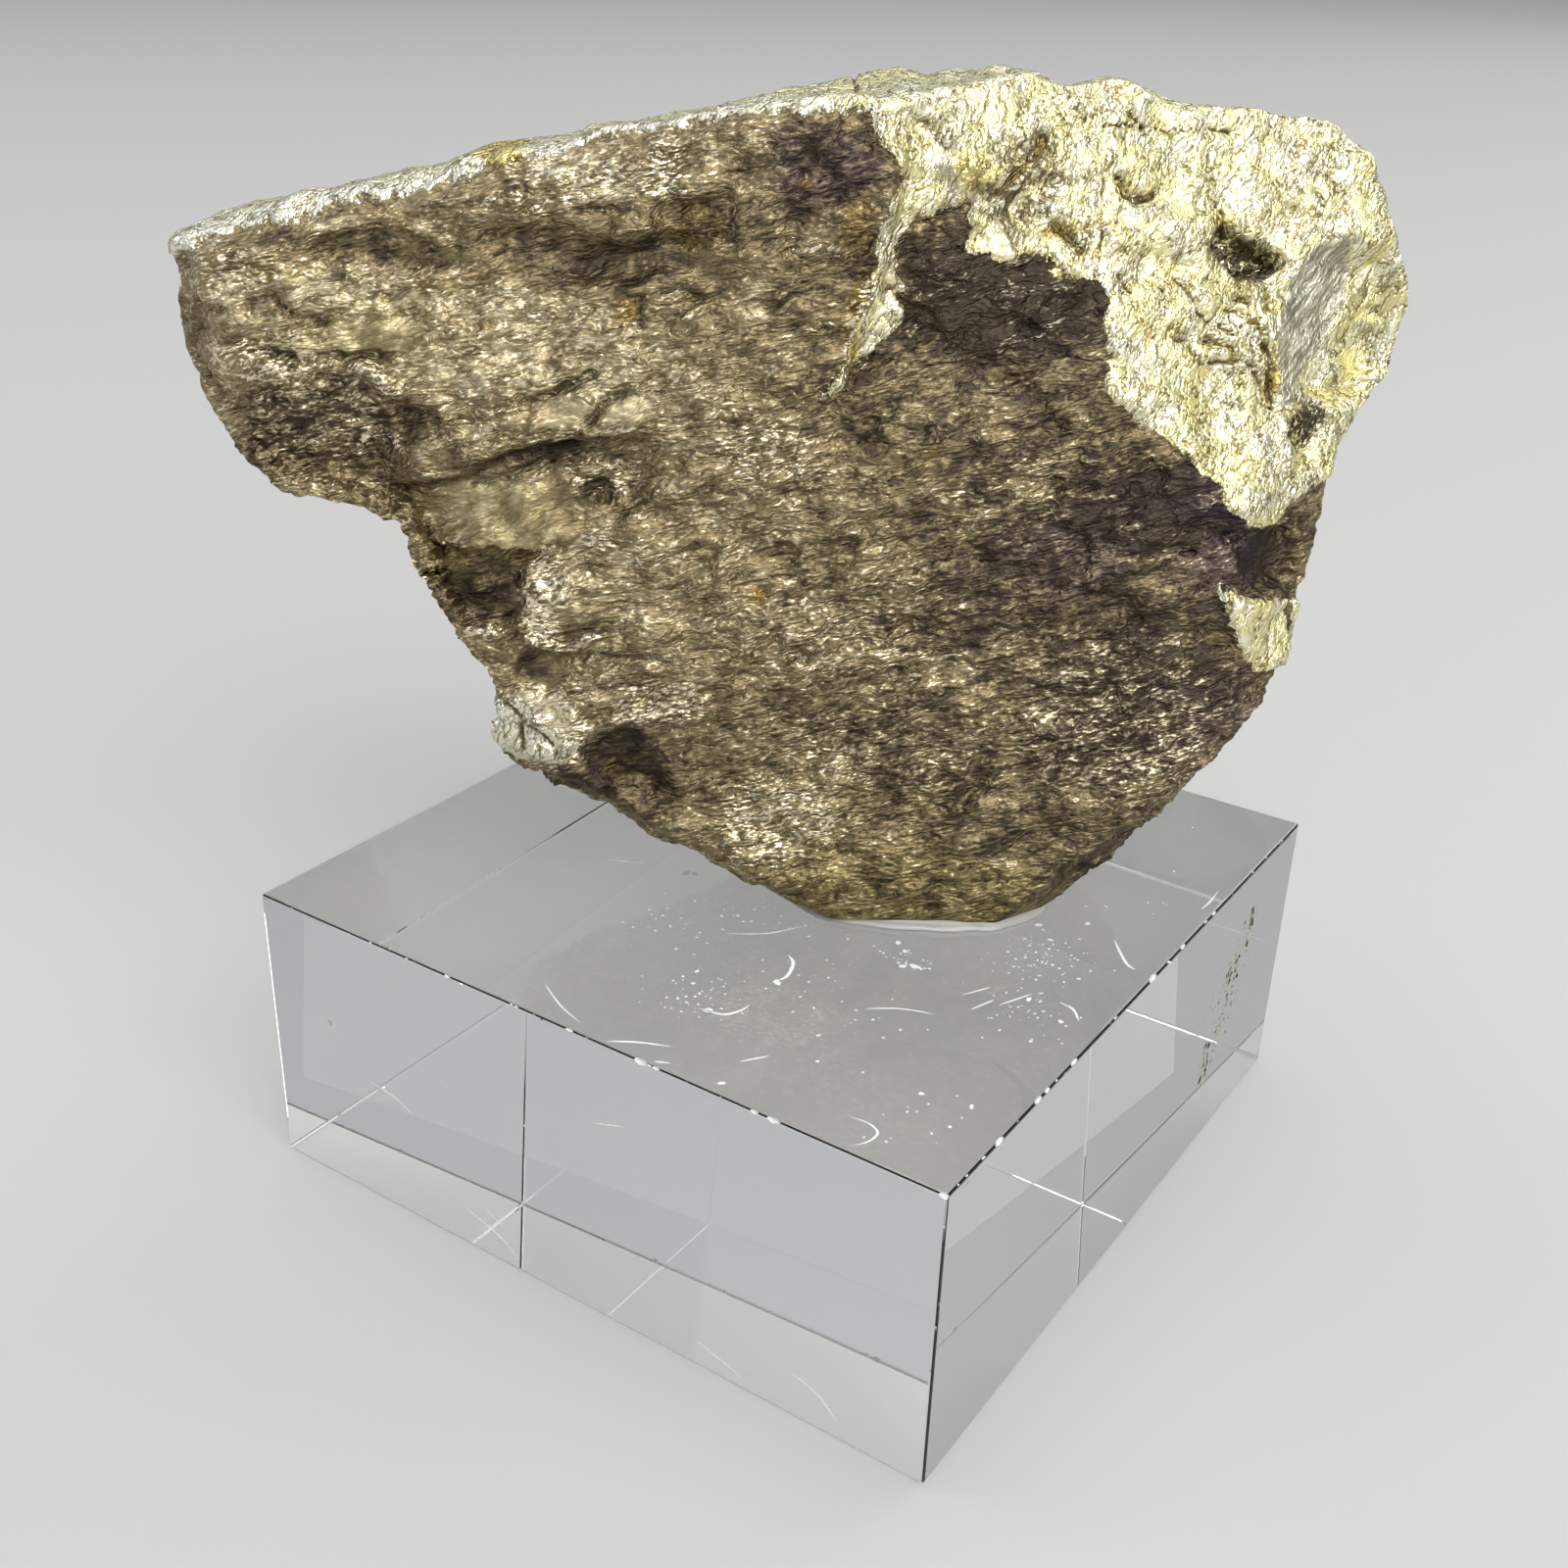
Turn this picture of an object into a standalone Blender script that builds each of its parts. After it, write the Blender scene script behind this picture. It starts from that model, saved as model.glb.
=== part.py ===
"""Pyrite specimen: a rough tarnished stone glued upright on a clear acrylic display block.

World frame: the origin is at the centre of the block's underside, +Z is up, and the
block's front edge runs along +X. The stone is modelled in its own frame in
millimetres: x along its broad face, y away from the viewer, z up from the block's top.
"""

import math

import bmesh
import bpy
from mathutils import Matrix, Vector, noise

MM = 0.001

# Driving dimensions, in millimetres
BLOCK_SIDE = 50.0
BLOCK_HEIGHT = 20.0
BLOCK_EDGE = 0.5
TOUCH_GAP = 0.3
GLUE_THICKNESS = 0.3
GLUE_EDGE = 0.1
STONE_TURN = 34.0  # degrees about the vertical, from the block's front edge
STONE_DEPTH = 24.0  # of the slab that the facets are broken from
VOXEL = 0.7
STONE_TRIANGLES = 8600
SMOOTH_PASSES = 2

FOOT_HEIGHT = TOUCH_GAP + GLUE_THICKNESS + TOUCH_GAP

# The stone's outline square to its broad face, (x, z), clockwise from the left tip
STONE_OUTLINE = [
    (-37.2, 36.8), (-36.9, 39.4), (-34.6, 40.8), (-31.4, 41.4), (-28.2, 42.0),
    (-23.4, 43.0), (-21.6, 44.0), (-18.6, 44.3), (-13.0, 45.6), (-6.3, 47.0),
    (0.5, 48.1), (6.0, 48.8), (10.2, 49.4), (12.8, 48.9), (15.8, 49.2),
    (18.6, 48.0), (22.0, 47.9), (27.6, 47.4), (31.0, 45.2), (32.8, 41.9),
    (34.1, 36.8), (33.8, 33.2), (31.6, 30.8), (29.7, 28.4), (29.8, 26.6),
    (29.2, 22.8), (28.5, 19.6), (28.3, 17.3), (26.5, 14.0), (23.1, 9.6),
    (19.8, 4.4), (16.3, 1.2), (13.6, -0.4), (2.4, -0.4), (0.4, 0.2),
    (-3.8, 2.0), (-7.0, 4.1), (-11.2, 5.9), (-15.2, 7.2), (-18.8, 9.6),
    (-18.6, 13.2), (-19.2, 15.2), (-21.2, 17.9), (-23.4, 21.9), (-24.4, 24.7),
    (-27.0, 25.6), (-30.4, 26.4), (-32.9, 28.4), (-35.6, 30.6), (-36.8, 34.0),
]

# The breaks that face the stone: name, a point on each and the way it faces
FACETS = {
    "broad_face": ((0.0, -9.0, 0.0), (0.0, -1.0, 0.09)),
    "fresh_break": ((15.5, -5.6, 34.5), (0.26, -0.88, 0.39)),
    "fresh_crown": ((14.9, -5.4, 38.6), (0.24, -0.85, 0.50)),
    "lower_right_break": ((25.6, -6.6, 19.5), (0.62, -0.76, 0.10)),
    "left_tip": ((-36.8, -2.4, 37.0), (-0.78, -0.62, -0.05)),
    "left_rim": ((-28.0, -5.0, 40.9), (-0.21, -0.42, 0.88)),
    "middle_top": ((-8.0, -4.7, 47.2), (-0.22, 0.14, 0.96)),
    "left_undercut": ((0.5, -8.9, 1.0), (-0.42, -0.60, -0.68)),
    "right_undercut": ((12.0, -9.0, 1.0), (0.50, -0.75, -0.43)),
    "back": ((0.0, 7.6, 24.0), (0.04, 1.0, -0.06)),
    "back_left": ((-26.0, 6.0, 34.0), (-0.20, 0.97, 0.12)),
    "back_left_tip": ((-36.0, 3.4, 36.0), (-0.80, 0.58, -0.10)),
    "back_top": ((4.0, 6.6, 46.4), (0.05, 0.62, 0.78)),
    "back_right": ((28.0, 8.4, 34.0), (0.40, 0.90, 0.10)),
    "back_low_right": ((20.0, 6.6, 14.0), (0.45, 0.82, -0.35)),
    "back_low_left": ((-14.0, 6.4, 14.0), (-0.30, 0.80, -0.52)),
    "back_foot": ((6.0, 4.6, 2.0), (0.0, 0.86, -0.51)),
}

# Relief on the broad face, in millimetres, with the edges of its forms wandering a little
WANDER = 1.3
WANDER_LENGTH = 3.2
WANDER_SEED = 5  # without a seed of its own, Blender's vector noise follows the clock
BAY_WALL_X = [(30.0, -1.0), (32.6, -0.2), (38.0, 2.2), (41.0, 2.6), (44.5, 3.2)]
BAY_DEPTH = 1.2
LEDGE_LINE = [(-27.0, 26.0), (-24.8, 26.5), (-19.7, 27.2), (-15.8, 28.7), (-8.0, 29.6)]
LEDGE_DEPTH = 1.2
IMPRINT = (-22.9, -16.8, 18.6, 23.5)
IMPRINT_DEPTH = 1.3
HOLLOW_CENTRE = (-11.2, 9.6)
HOLLOW_RADII = (3.4, 3.2)
HOLLOW_DEPTH = 1.2
UNDERSIDE_LINE = [(-37.0, 34.5), (-30.0, 33.0), (-24.0, 33.6), (-21.0, 31.5)]
UNDERSIDE_DEPTH = 1.6
STRIATED_LEFT = [(31.0, 26.6), (32.2, 26.3), (34.2, 25.6), (37.0, 26.6), (40.4, 27.3)]
STRIATED_SLOPE = 0.55
PIT_CENTRE = (23.9, 40.3)
PIT_RADII = (2.2, 1.8)
PIT_DEPTH = 1.8
RIM_GROOVES = [((-24.8, 39.6), (5.4, 1.3), 0.8), ((-12.6, 39.7), (7.8, 1.9), 0.9)]
PLATES = [((-14.6, 32.0), (2.2, 1.3), 0.5), ((-11.4, 31.2), (1.7, 1.5), 0.45)]
CRYSTALS = [
    ((-17.6, -5.6, 14.3), 2.0, (20, 30, 15)),
    ((-16.0, -6.5, 12.6), 1.8, (40, 15, 35)),
    ((-17.6, -5.8, 11.4), 2.2, (10, 40, 50)),
    ((-14.6, -6.9, 14.4), 1.5, (30, 20, 60)),
    ((-15.0, -6.7, 10.6), 1.6, (50, 10, 25)),
]

# Relief on the back, in millimetres: ledges as (line, depth), hollows as (centre, radii, depth)
BACK_LEDGES = [
    ([(-30.0, 35.5), (-12.0, 34.0), (2.0, 30.5), (14.0, 31.5), (33.0, 27.0)], 1.1),
    ([(-20.0, 19.5), (-6.0, 17.5), (8.0, 19.0), (26.0, 15.0)], 0.9),
]
BACK_HOLLOWS = [
    ((12.0, 38.5), (7.5, 4.6), 1.0),
    ((-19.0, 27.0), (6.0, 4.0), 0.8),
    ((5.0, 24.5), (8.0, 3.6), 0.7),
]
LEDGE_RUN = 7.0

# Patches of grain over the whole stone: size along the face, size up it, height, seed
GRAINS = [(11.0, 7.0, 0.55, 3.0), (4.6, 2.4, 0.38, 17.0), (2.4, 1.3, 0.20, 41.0)]
BACK_GRAIN_GAIN = 1.6

# The glue pad's outline round the stone's foot, (x, y) in the stone's frame
GLUE_OUTLINE = [
    (-2.6, -2.0), (-1.6, -5.6), (1.6, -7.4), (6.5, -8.1), (11.4, -7.6),
    (14.4, -5.8), (15.6, -2.4), (14.8, 1.6), (11.0, 4.2), (5.0, 4.6),
    (0.0, 3.8), (-2.2, 1.4),
]


def clear_scene():
    """Start from an empty scene."""
    for old in list(bpy.data.objects):
        bpy.data.objects.remove(old, do_unlink=True)


def make_material(name, colour, metallic, roughness, clear=False):
    """One Principled finish."""
    material = bpy.data.materials.new(name)
    material.use_nodes = True
    shader = material.node_tree.nodes["Principled BSDF"]
    shader.inputs["Base Color"].default_value = (*colour, 1.0)
    shader.inputs["Metallic"].default_value = metallic
    shader.inputs["Roughness"].default_value = roughness
    if clear:
        shader.inputs["Transmission Weight"].default_value = 1.0
        shader.inputs["IOR"].default_value = 1.49
    return material


def place(mesh, name, material):
    """Turn a bmesh into a named object with its material."""
    data = bpy.data.meshes.new(name)
    mesh.to_mesh(data)
    mesh.free()
    data.materials.append(material)
    piece = bpy.data.objects.new(name, data)
    bpy.context.scene.collection.objects.link(piece)
    return piece


def ramp(low, high, value):
    """A smooth step from 0 at low to 1 at high."""
    share = min(max((value - low) / (high - low), 0.0), 1.0)
    return share * share * (3.0 - 2.0 * share)


def read_line(points, at):
    """The height of a broken line, given as (place, height) points, at a place."""
    for (x0, z0), (x1, z1) in zip(points, points[1:]):
        if at <= x1:
            share = max((at - x0) / (x1 - x0), 0.0)
            return z0 + share * (z1 - z0)
    return points[-1][1]


def dish(x, z, centre, radii, depth):
    """A round dip, deepest at its centre."""
    reach = math.hypot((x - centre[0]) / radii[0], (z - centre[1]) / radii[1])
    return depth * (1.0 - ramp(0.35, 1.15, reach))


def acrylic_block():
    """The clear display block, with its polished edges eased."""
    mesh = bmesh.new()
    bmesh.ops.create_cube(mesh, size=1.0)
    size = (BLOCK_SIDE * MM, BLOCK_SIDE * MM, BLOCK_HEIGHT * MM)
    bmesh.ops.scale(mesh, vec=size, verts=mesh.verts)
    bmesh.ops.translate(mesh, vec=(0, 0, BLOCK_HEIGHT * MM / 2), verts=mesh.verts)
    bmesh.ops.bevel(
        mesh,
        geom=mesh.edges[:],
        offset=BLOCK_EDGE * MM,
        affect="EDGES",
        segments=3,
        profile=0.5,
        material=-1,
    )
    bmesh.ops.triangulate(mesh, faces=mesh.faces[:])
    clear = make_material("clear_acrylic", (0.97, 0.98, 0.98), 0.0, 0.04, clear=True)
    return place(mesh, "acrylic_block", clear)


def glue_pad():
    """The thin pad of clear glue between the block's top and the stone's foot."""
    mesh = bmesh.new()
    low = (BLOCK_HEIGHT + TOUCH_GAP) * MM
    turn = math.radians(STONE_TURN)
    ring = []
    for x, y in GLUE_OUTLINE:
        across = (x * math.cos(turn) - y * math.sin(turn)) * MM
        along = (x * math.sin(turn) + y * math.cos(turn)) * MM
        ring.append(mesh.verts.new((across, along, low)))
    base = mesh.faces.new(ring)
    grown = bmesh.ops.extrude_face_region(mesh, geom=[base])
    top = [item for item in grown["geom"] if isinstance(item, bmesh.types.BMVert)]
    bmesh.ops.translate(mesh, vec=(0, 0, GLUE_THICKNESS * MM), verts=top)
    bmesh.ops.recalc_face_normals(mesh, faces=mesh.faces[:])
    rim = [edge for edge in mesh.edges if all(vert in top for vert in edge.verts)]
    bmesh.ops.bevel(
        mesh,
        geom=rim,
        offset=GLUE_EDGE * MM,
        affect="EDGES",
        segments=1,
        profile=0.5,
        material=-1,
    )
    bmesh.ops.triangulate(mesh, faces=mesh.faces[:])
    clear = make_material("clear_glue", (0.92, 0.93, 0.90), 0.0, 0.15, clear=True)
    return place(mesh, "glue_pad", clear)


def break_facet(mesh, point, facing):
    """Break the slab along a plane and close the cut with a flat facet."""
    everything = mesh.verts[:] + mesh.edges[:] + mesh.faces[:]
    cut = bmesh.ops.bisect_plane(
        mesh,
        geom=everything,
        plane_co=Vector(point),
        plane_no=Vector(facing).normalized(),
        clear_outer=True,
    )
    lips = [item for item in cut["geom_cut"] if isinstance(item, bmesh.types.BMEdge)]
    open_lips = [edge for edge in lips if edge.is_boundary]
    bmesh.ops.triangle_fill(mesh, edges=open_lips, use_beauty=True)


def rough_slab():
    """The outline given its depth, then broken to its main facets."""
    mesh = bmesh.new()
    ring = [mesh.verts.new((x, -STONE_DEPTH / 2, z)) for x, z in STONE_OUTLINE]
    front = mesh.faces.new(ring)
    grown = bmesh.ops.extrude_face_region(mesh, geom=[front])
    back = [item for item in grown["geom"] if isinstance(item, bmesh.types.BMVert)]
    bmesh.ops.translate(mesh, vec=(0, STONE_DEPTH, 0), verts=back)
    bmesh.ops.recalc_face_normals(mesh, faces=mesh.faces[:])
    bmesh.ops.triangulate(mesh, faces=mesh.faces[:])
    for point, facing in FACETS.values():
        break_facet(mesh, point, facing)
    break_facet(mesh, (0, 0, FOOT_HEIGHT), (0, 0, -1))
    return mesh


def add_crystals(mesh):
    """Small cubes grown together at the lower left corner."""
    for centre, size, turns in CRYSTALS:
        cube = bmesh.ops.create_cube(mesh, size=size)["verts"]
        for axis, degrees in zip("XYZ", turns):
            spin = Matrix.Rotation(math.radians(degrees), 3, axis)
            bmesh.ops.rotate(mesh, verts=cube, cent=(0, 0, 0), matrix=spin)
        bmesh.ops.translate(mesh, vec=centre, verts=cube)


def wander(x, z):
    """The same place pushed about, so that no form on the stone has a drawn edge."""
    push = noise.noise_vector(Vector((x / WANDER_LENGTH, 0.0, z / WANDER_LENGTH)))
    return x + WANDER * push.x, z + WANDER * push.z


def face_relief(x, z):
    """How far the broad face lies behind its plane at (x, z), in millimetres."""
    x, z = wander(x, z)
    bay = ramp(0.0, 1.8, x - read_line(BAY_WALL_X, z)) * (1.0 - ramp(11.0, 16.5, x))
    depth = BAY_DEPTH * bay * ramp(29.5, 37.0, z) * (1.0 - ramp(42.5, 45.5, z))
    below = read_line(LEDGE_LINE, x) - z
    along = ramp(-28.0, -25.0, x) * (1.0 - ramp(-12.0, -8.5, x))
    depth += LEDGE_DEPTH * ramp(-0.1, 0.8, below) * (1.0 - ramp(2.0, 7.5, below)) * along
    left, right, low, high = IMPRINT
    inset = min(x - left, right - x, z - low, high - z)
    depth += IMPRINT_DEPTH * ramp(-0.2, 0.8, inset)
    depth += dish(x, z, HOLLOW_CENTRE, HOLLOW_RADII, HOLLOW_DEPTH)
    depth += dish(x, z, PIT_CENTRE, PIT_RADII, PIT_DEPTH)
    under = read_line(UNDERSIDE_LINE, x) - z
    depth += UNDERSIDE_DEPTH * ramp(0.0, 6.0, under) * (1.0 - ramp(-25.5, -22.0, x))
    past = min(max(x - read_line(STRIATED_LEFT, z), 0.0), 3.5)
    depth += STRIATED_SLOPE * past * ramp(30.8, 33.0, z) * (1.0 - ramp(39.4, 41.2, z))
    for centre, radii, groove in RIM_GROOVES:
        depth += dish(x, z, centre, radii, groove)
    for centre, radii, height in PLATES:
        depth -= dish(x, z, centre, radii, height)
    return depth


def back_relief(x, z):
    """How far the back lies inside its planes at (x, z), in millimetres."""
    x, z = wander(x, z)
    depth = 0.0
    for line, drop in BACK_LEDGES:
        below = read_line(line, x) - z
        depth += drop * ramp(-0.2, 1.0, below) * (1.0 - ramp(1.5, LEDGE_RUN, below))
    for centre, radii, hollow in BACK_HOLLOWS:
        depth += dish(x, z, centre, radii, hollow)
    return depth


def grain_relief(point):
    """Lumps and steps of the broken mineral, longer along the face than up it."""
    height = 0.0
    for length, rise, gain, seed in GRAINS:
        sample = Vector((point.x / length, point.y / rise + seed, point.z / rise - seed))
        height += gain * noise.noise(sample)
    return height


def roughen(mesh):
    """Press the relief into the stone along its own normals, leaving the foot flat."""
    mesh.normal_update()
    moves = []
    for vert in mesh.verts:
        front = ramp(0.25, 0.7, -vert.normal.y)
        back = ramp(0.25, 0.7, vert.normal.y)
        foot = ramp(FOOT_HEIGHT + 0.2, FOOT_HEIGHT + 3.0, vert.co.z)
        height = grain_relief(vert.co) * (1.0 + (BACK_GRAIN_GAIN - 1.0) * back)
        height -= front * face_relief(vert.co.x, vert.co.z)
        height -= back * back_relief(vert.co.x, vert.co.z)
        moves.append(vert.normal * height * foot)
    for vert, move in zip(mesh.verts, moves):
        vert.co += move
        vert.co.z = max(vert.co.z, FOOT_HEIGHT)


def applied(piece):
    """The mesh of an object as its modifiers leave it."""
    graph = bpy.context.evaluated_depsgraph_get()
    mesh = bmesh.new()
    mesh.from_mesh(piece.evaluated_get(graph).to_mesh())
    piece.evaluated_get(graph).to_mesh_clear()
    return mesh


def remeshed(mesh, voxel):
    """An even mesh of the same shape, with every lump fused into one body."""
    blank = make_material("blank", (0.5, 0.5, 0.5), 0.0, 0.5)
    helper = place(mesh, "remesh_helper", blank)
    remesh = helper.modifiers.new("even", "REMESH")
    remesh.mode = "VOXEL"
    remesh.voxel_size = voxel
    result = applied(helper)
    bpy.data.objects.remove(helper, do_unlink=True)
    bpy.data.materials.remove(blank)
    return result


def pyrite_stone():
    """The stone: facets, crystals and relief in one solid."""
    mesh = rough_slab()
    add_crystals(mesh)
    mesh = remeshed(mesh, VOXEL)
    for _ in range(SMOOTH_PASSES):
        bmesh.ops.smooth_vert(
            mesh,
            verts=mesh.verts[:],
            factor=0.5,
            use_axis_x=True,
            use_axis_y=True,
            use_axis_z=True,
        )
    roughen(mesh)
    bmesh.ops.scale(mesh, vec=(MM, MM, MM), verts=mesh.verts[:])
    bmesh.ops.triangulate(mesh, faces=mesh.faces[:])
    bronze = make_material("tarnished_pyrite", (0.30, 0.25, 0.17), 0.85, 0.42)
    count = len(mesh.faces)
    piece = place(mesh, "pyrite_stone", bronze)
    thin = piece.modifiers.new("thin", "DECIMATE")
    thin.ratio = STONE_TRIANGLES / count
    piece.data.shade_smooth()
    piece.location = (0.0, 0.0, BLOCK_HEIGHT * MM)
    piece.rotation_euler = (0.0, 0.0, math.radians(STONE_TURN))
    return piece


clear_scene()
noise.seed_set(WANDER_SEED)
acrylic_block()
glue_pad()
pyrite_stone()
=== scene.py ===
# %% [markdown]
# # A pyrite specimen on its display block
# The real object is three things: a broken piece of pyrite, a little clear glue and a square of clear
# acrylic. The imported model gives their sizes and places. This lesson gives them their surfaces: the fibrous
# brown tarnish, the bright crinkled break at the upper right, and the scratched, nicked plastic below.

# %% Load the fixed frame
import itertools
import math
import random

import bmesh
import bpy
import numpy as np
from mathutils import Matrix, Vector, noise


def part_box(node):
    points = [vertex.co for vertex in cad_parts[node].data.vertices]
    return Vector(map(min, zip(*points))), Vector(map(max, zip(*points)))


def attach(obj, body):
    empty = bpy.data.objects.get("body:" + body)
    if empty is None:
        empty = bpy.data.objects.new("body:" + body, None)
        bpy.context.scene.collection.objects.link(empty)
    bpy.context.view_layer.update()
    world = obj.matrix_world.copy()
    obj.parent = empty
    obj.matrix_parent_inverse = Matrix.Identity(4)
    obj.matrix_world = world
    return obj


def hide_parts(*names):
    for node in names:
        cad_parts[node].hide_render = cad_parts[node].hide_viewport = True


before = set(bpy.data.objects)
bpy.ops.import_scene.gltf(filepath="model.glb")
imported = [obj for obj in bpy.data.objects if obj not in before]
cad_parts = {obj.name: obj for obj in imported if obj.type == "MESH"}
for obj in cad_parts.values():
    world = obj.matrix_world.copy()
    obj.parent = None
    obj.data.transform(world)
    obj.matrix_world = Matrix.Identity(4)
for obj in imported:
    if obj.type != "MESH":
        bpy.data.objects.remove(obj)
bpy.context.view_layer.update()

MM = 0.001
print("nodes", sorted(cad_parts))

# %% [markdown]
# ## Camera
# The photograph was taken from close by, a little to the right and from above. Where the block's corners
# fall in it gives the place of the camera, the way it looks and its slight roll.

# %% Camera
CAMERA_AT = Vector((57.5, -90.2, 78.9)) * MM
CAMERA_LOOK = Vector((-0.4926, 0.7464, -0.4476))
CAMERA_RIGHT = Vector((0.8266, 0.5621, 0.0277))
CAMERA_LENS = 41.9


def set_camera():
    """The photograph's own viewpoint, with no shift and no depth of field."""
    data = bpy.data.cameras.new("viewpoint")
    data.lens = CAMERA_LENS
    data.sensor_width = 36.0
    data.clip_start = 0.005
    camera = bpy.data.objects.new("viewpoint", data)
    bpy.context.scene.collection.objects.link(camera)
    back = -CAMERA_LOOK.normalized()
    right = (CAMERA_RIGHT - back * CAMERA_RIGHT.dot(back)).normalized()
    up = back.cross(right)
    turn = Matrix((right, up, back)).transposed().to_4x4()
    camera.matrix_world = Matrix.Translation(CAMERA_AT) @ turn
    bpy.context.scene.camera = camera


set_camera()
print("camera", round(CAMERA_AT.length * 1000), "mm from the block's underside")

# %% [markdown]
# ## The table
# The specimen stands on a plain pale table, a flat grid far wider than the picture, a hair below the block
# so that the two never share a plane. Two short helpers come first, because every piece needs a material
# and an object: one makes a plain material, the other turns a finished bmesh into an object whose place is
# in its mesh.

# %% Helpers for materials and pieces
scene = bpy.context.scene


def simple_material(name, colour, roughness):
    """A plain Principled material, which the next steps may add nodes to."""
    material = bpy.data.materials.new(name)
    material.use_nodes = True
    shader = material.node_tree.nodes["Principled BSDF"]
    shader.inputs["Base Color"].default_value = (*colour, 1.0)
    shader.inputs["Roughness"].default_value = roughness
    return material


def link_piece(mesh, name, material, smooth=True):
    """A finished bmesh becomes an object whose place is in its mesh."""
    data = bpy.data.meshes.new(name)
    mesh.to_mesh(data)
    mesh.free()
    data.materials.append(material)
    if smooth:
        data.shade_smooth()
    piece = bpy.data.objects.new(name, data)
    scene.collection.objects.link(piece)
    return piece


print("material and piece helpers ready")

# %% Floor
TABLE_DROP = 0.05 * MM
TABLE_HALF_SIDE = 3.0
TABLE_GREY = (0.50, 0.50, 0.495)

table = bmesh.new()
bmesh.ops.create_grid(table, x_segments=1, y_segments=1, size=TABLE_HALF_SIDE)
bmesh.ops.translate(table, vec=(0.0, 0.0, -TABLE_DROP), verts=table.verts[:])
pale_table = simple_material("pale_table", TABLE_GREY, 0.6)
table_top = link_piece(table, "table_top", pale_table, smooth=False)
print("table", [round(side, 2) for side in table_top.dimensions])

# %% [markdown]
# ## Soft boxes
# A stone with a metal's shine shows what it mirrors, so bare lamps would leave hard stars on it. Every
# light here is a broad rectangle, as in a photographer's studio, and each is placed for the surface it
# lights: the overhead one for the block, the key for the bright break, the small front one for the glints
# on the tarnish.

# %% Soft boxes
LIGHT_TARGET = Vector((0.0, 0.0, 0.04))
SOFT_BOXES = {
    "overhead": ((-0.10, 0.10, 1.50), (1.4, 1.2), 9.5, (1.0, 0.99, 0.97)),
    "key_for_the_break": ((0.93, -0.41, 0.64), (0.9, 0.8), 8.6, (1.0, 0.98, 0.93)),
    "front_for_the_glints": ((0.43, -0.64, 0.92), (0.45, 0.30), 3.4, (1.0, 0.98, 0.94)),
    "window_left": ((-1.00, -0.30, 0.50), (0.6, 0.6), 1.7, (0.90, 0.94, 1.0)),
    "behind": ((0.30, 1.10, 0.70), (0.7, 0.7), 3.1, (1.0, 0.98, 0.95)),
}


def add_soft_box(name, at, size, power, colour):
    """One rectangular light, aimed at the specimen."""
    data = bpy.data.lights.new(name, "AREA")
    data.shape = "RECTANGLE"
    data.size, data.size_y = size
    data.energy = power
    data.color = colour
    light = bpy.data.objects.new(name, data)
    scene.collection.objects.link(light)
    light.location = at
    light.rotation_euler = (LIGHT_TARGET - light.location).to_track_quat("-Z", "Y").to_euler()


for box_name, settings in SOFT_BOXES.items():
    add_soft_box(box_name, *settings)
print("lights", len(SOFT_BOXES))

# %% [markdown]
# ## Room light
# Clear plastic shows the room around it. One flat grey would turn the block to fog, and a picture of a room
# would bring in things that aren't part of the object. A plain fade, dim at eye level and lighter overhead,
# is enough to part the block's faces from each other.

# %% Room light
HORIZON_GREY = 0.26
ZENITH_GREY = 0.62


def set_room():
    """An even room, dimmer at eye level than overhead."""
    world = bpy.data.worlds.new("studio")
    scene.world = world
    world.use_nodes = True
    nodes, links = world.node_tree.nodes, world.node_tree.links
    place = nodes.new("ShaderNodeTexCoord")
    split = nodes.new("ShaderNodeSeparateXYZ")
    grey = nodes.new("ShaderNodeMapRange")
    grey.inputs["To Min"].default_value = HORIZON_GREY
    grey.inputs["To Max"].default_value = ZENITH_GREY
    links.new(place.outputs["Generated"], split.inputs["Vector"])
    links.new(split.outputs["Z"], grey.inputs["Value"])
    links.new(grey.outputs["Result"], nodes["Background"].inputs["Strength"])
    nodes["Background"].inputs["Color"].default_value = (0.96, 0.98, 1.0, 1.0)


set_room()
scene.view_settings.view_transform = "Standard"
print("room from", HORIZON_GREY, "to", ZENITH_GREY)

# %% [markdown]
# ## The stone's own frame
# The stone stands turned 34 degrees on its block. Everything about it is easier to say in its own frame, in
# millimetres: x along the broad face, y away from the viewer, z up from the top of the block.

# %% Stone frame
STONE_TURN = math.radians(34.0)
BLOCK_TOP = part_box("acrylic_block")[1].z
STONE_TO_WORLD = (
    Matrix.Translation((0.0, 0.0, BLOCK_TOP)) @ Matrix.Rotation(STONE_TURN, 4, "Z") @ Matrix.Scale(MM, 4)
)
print("block top at", round(BLOCK_TOP * 1000, 2), "mm")

# %% [markdown]
# ## The stone's main breaks
# A broken mineral is bounded by a few large breaks. The outline is drawn square to the broad face and given
# depth, and each break then cuts the slab along a plane. The numbers are those of the solid stone.

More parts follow.
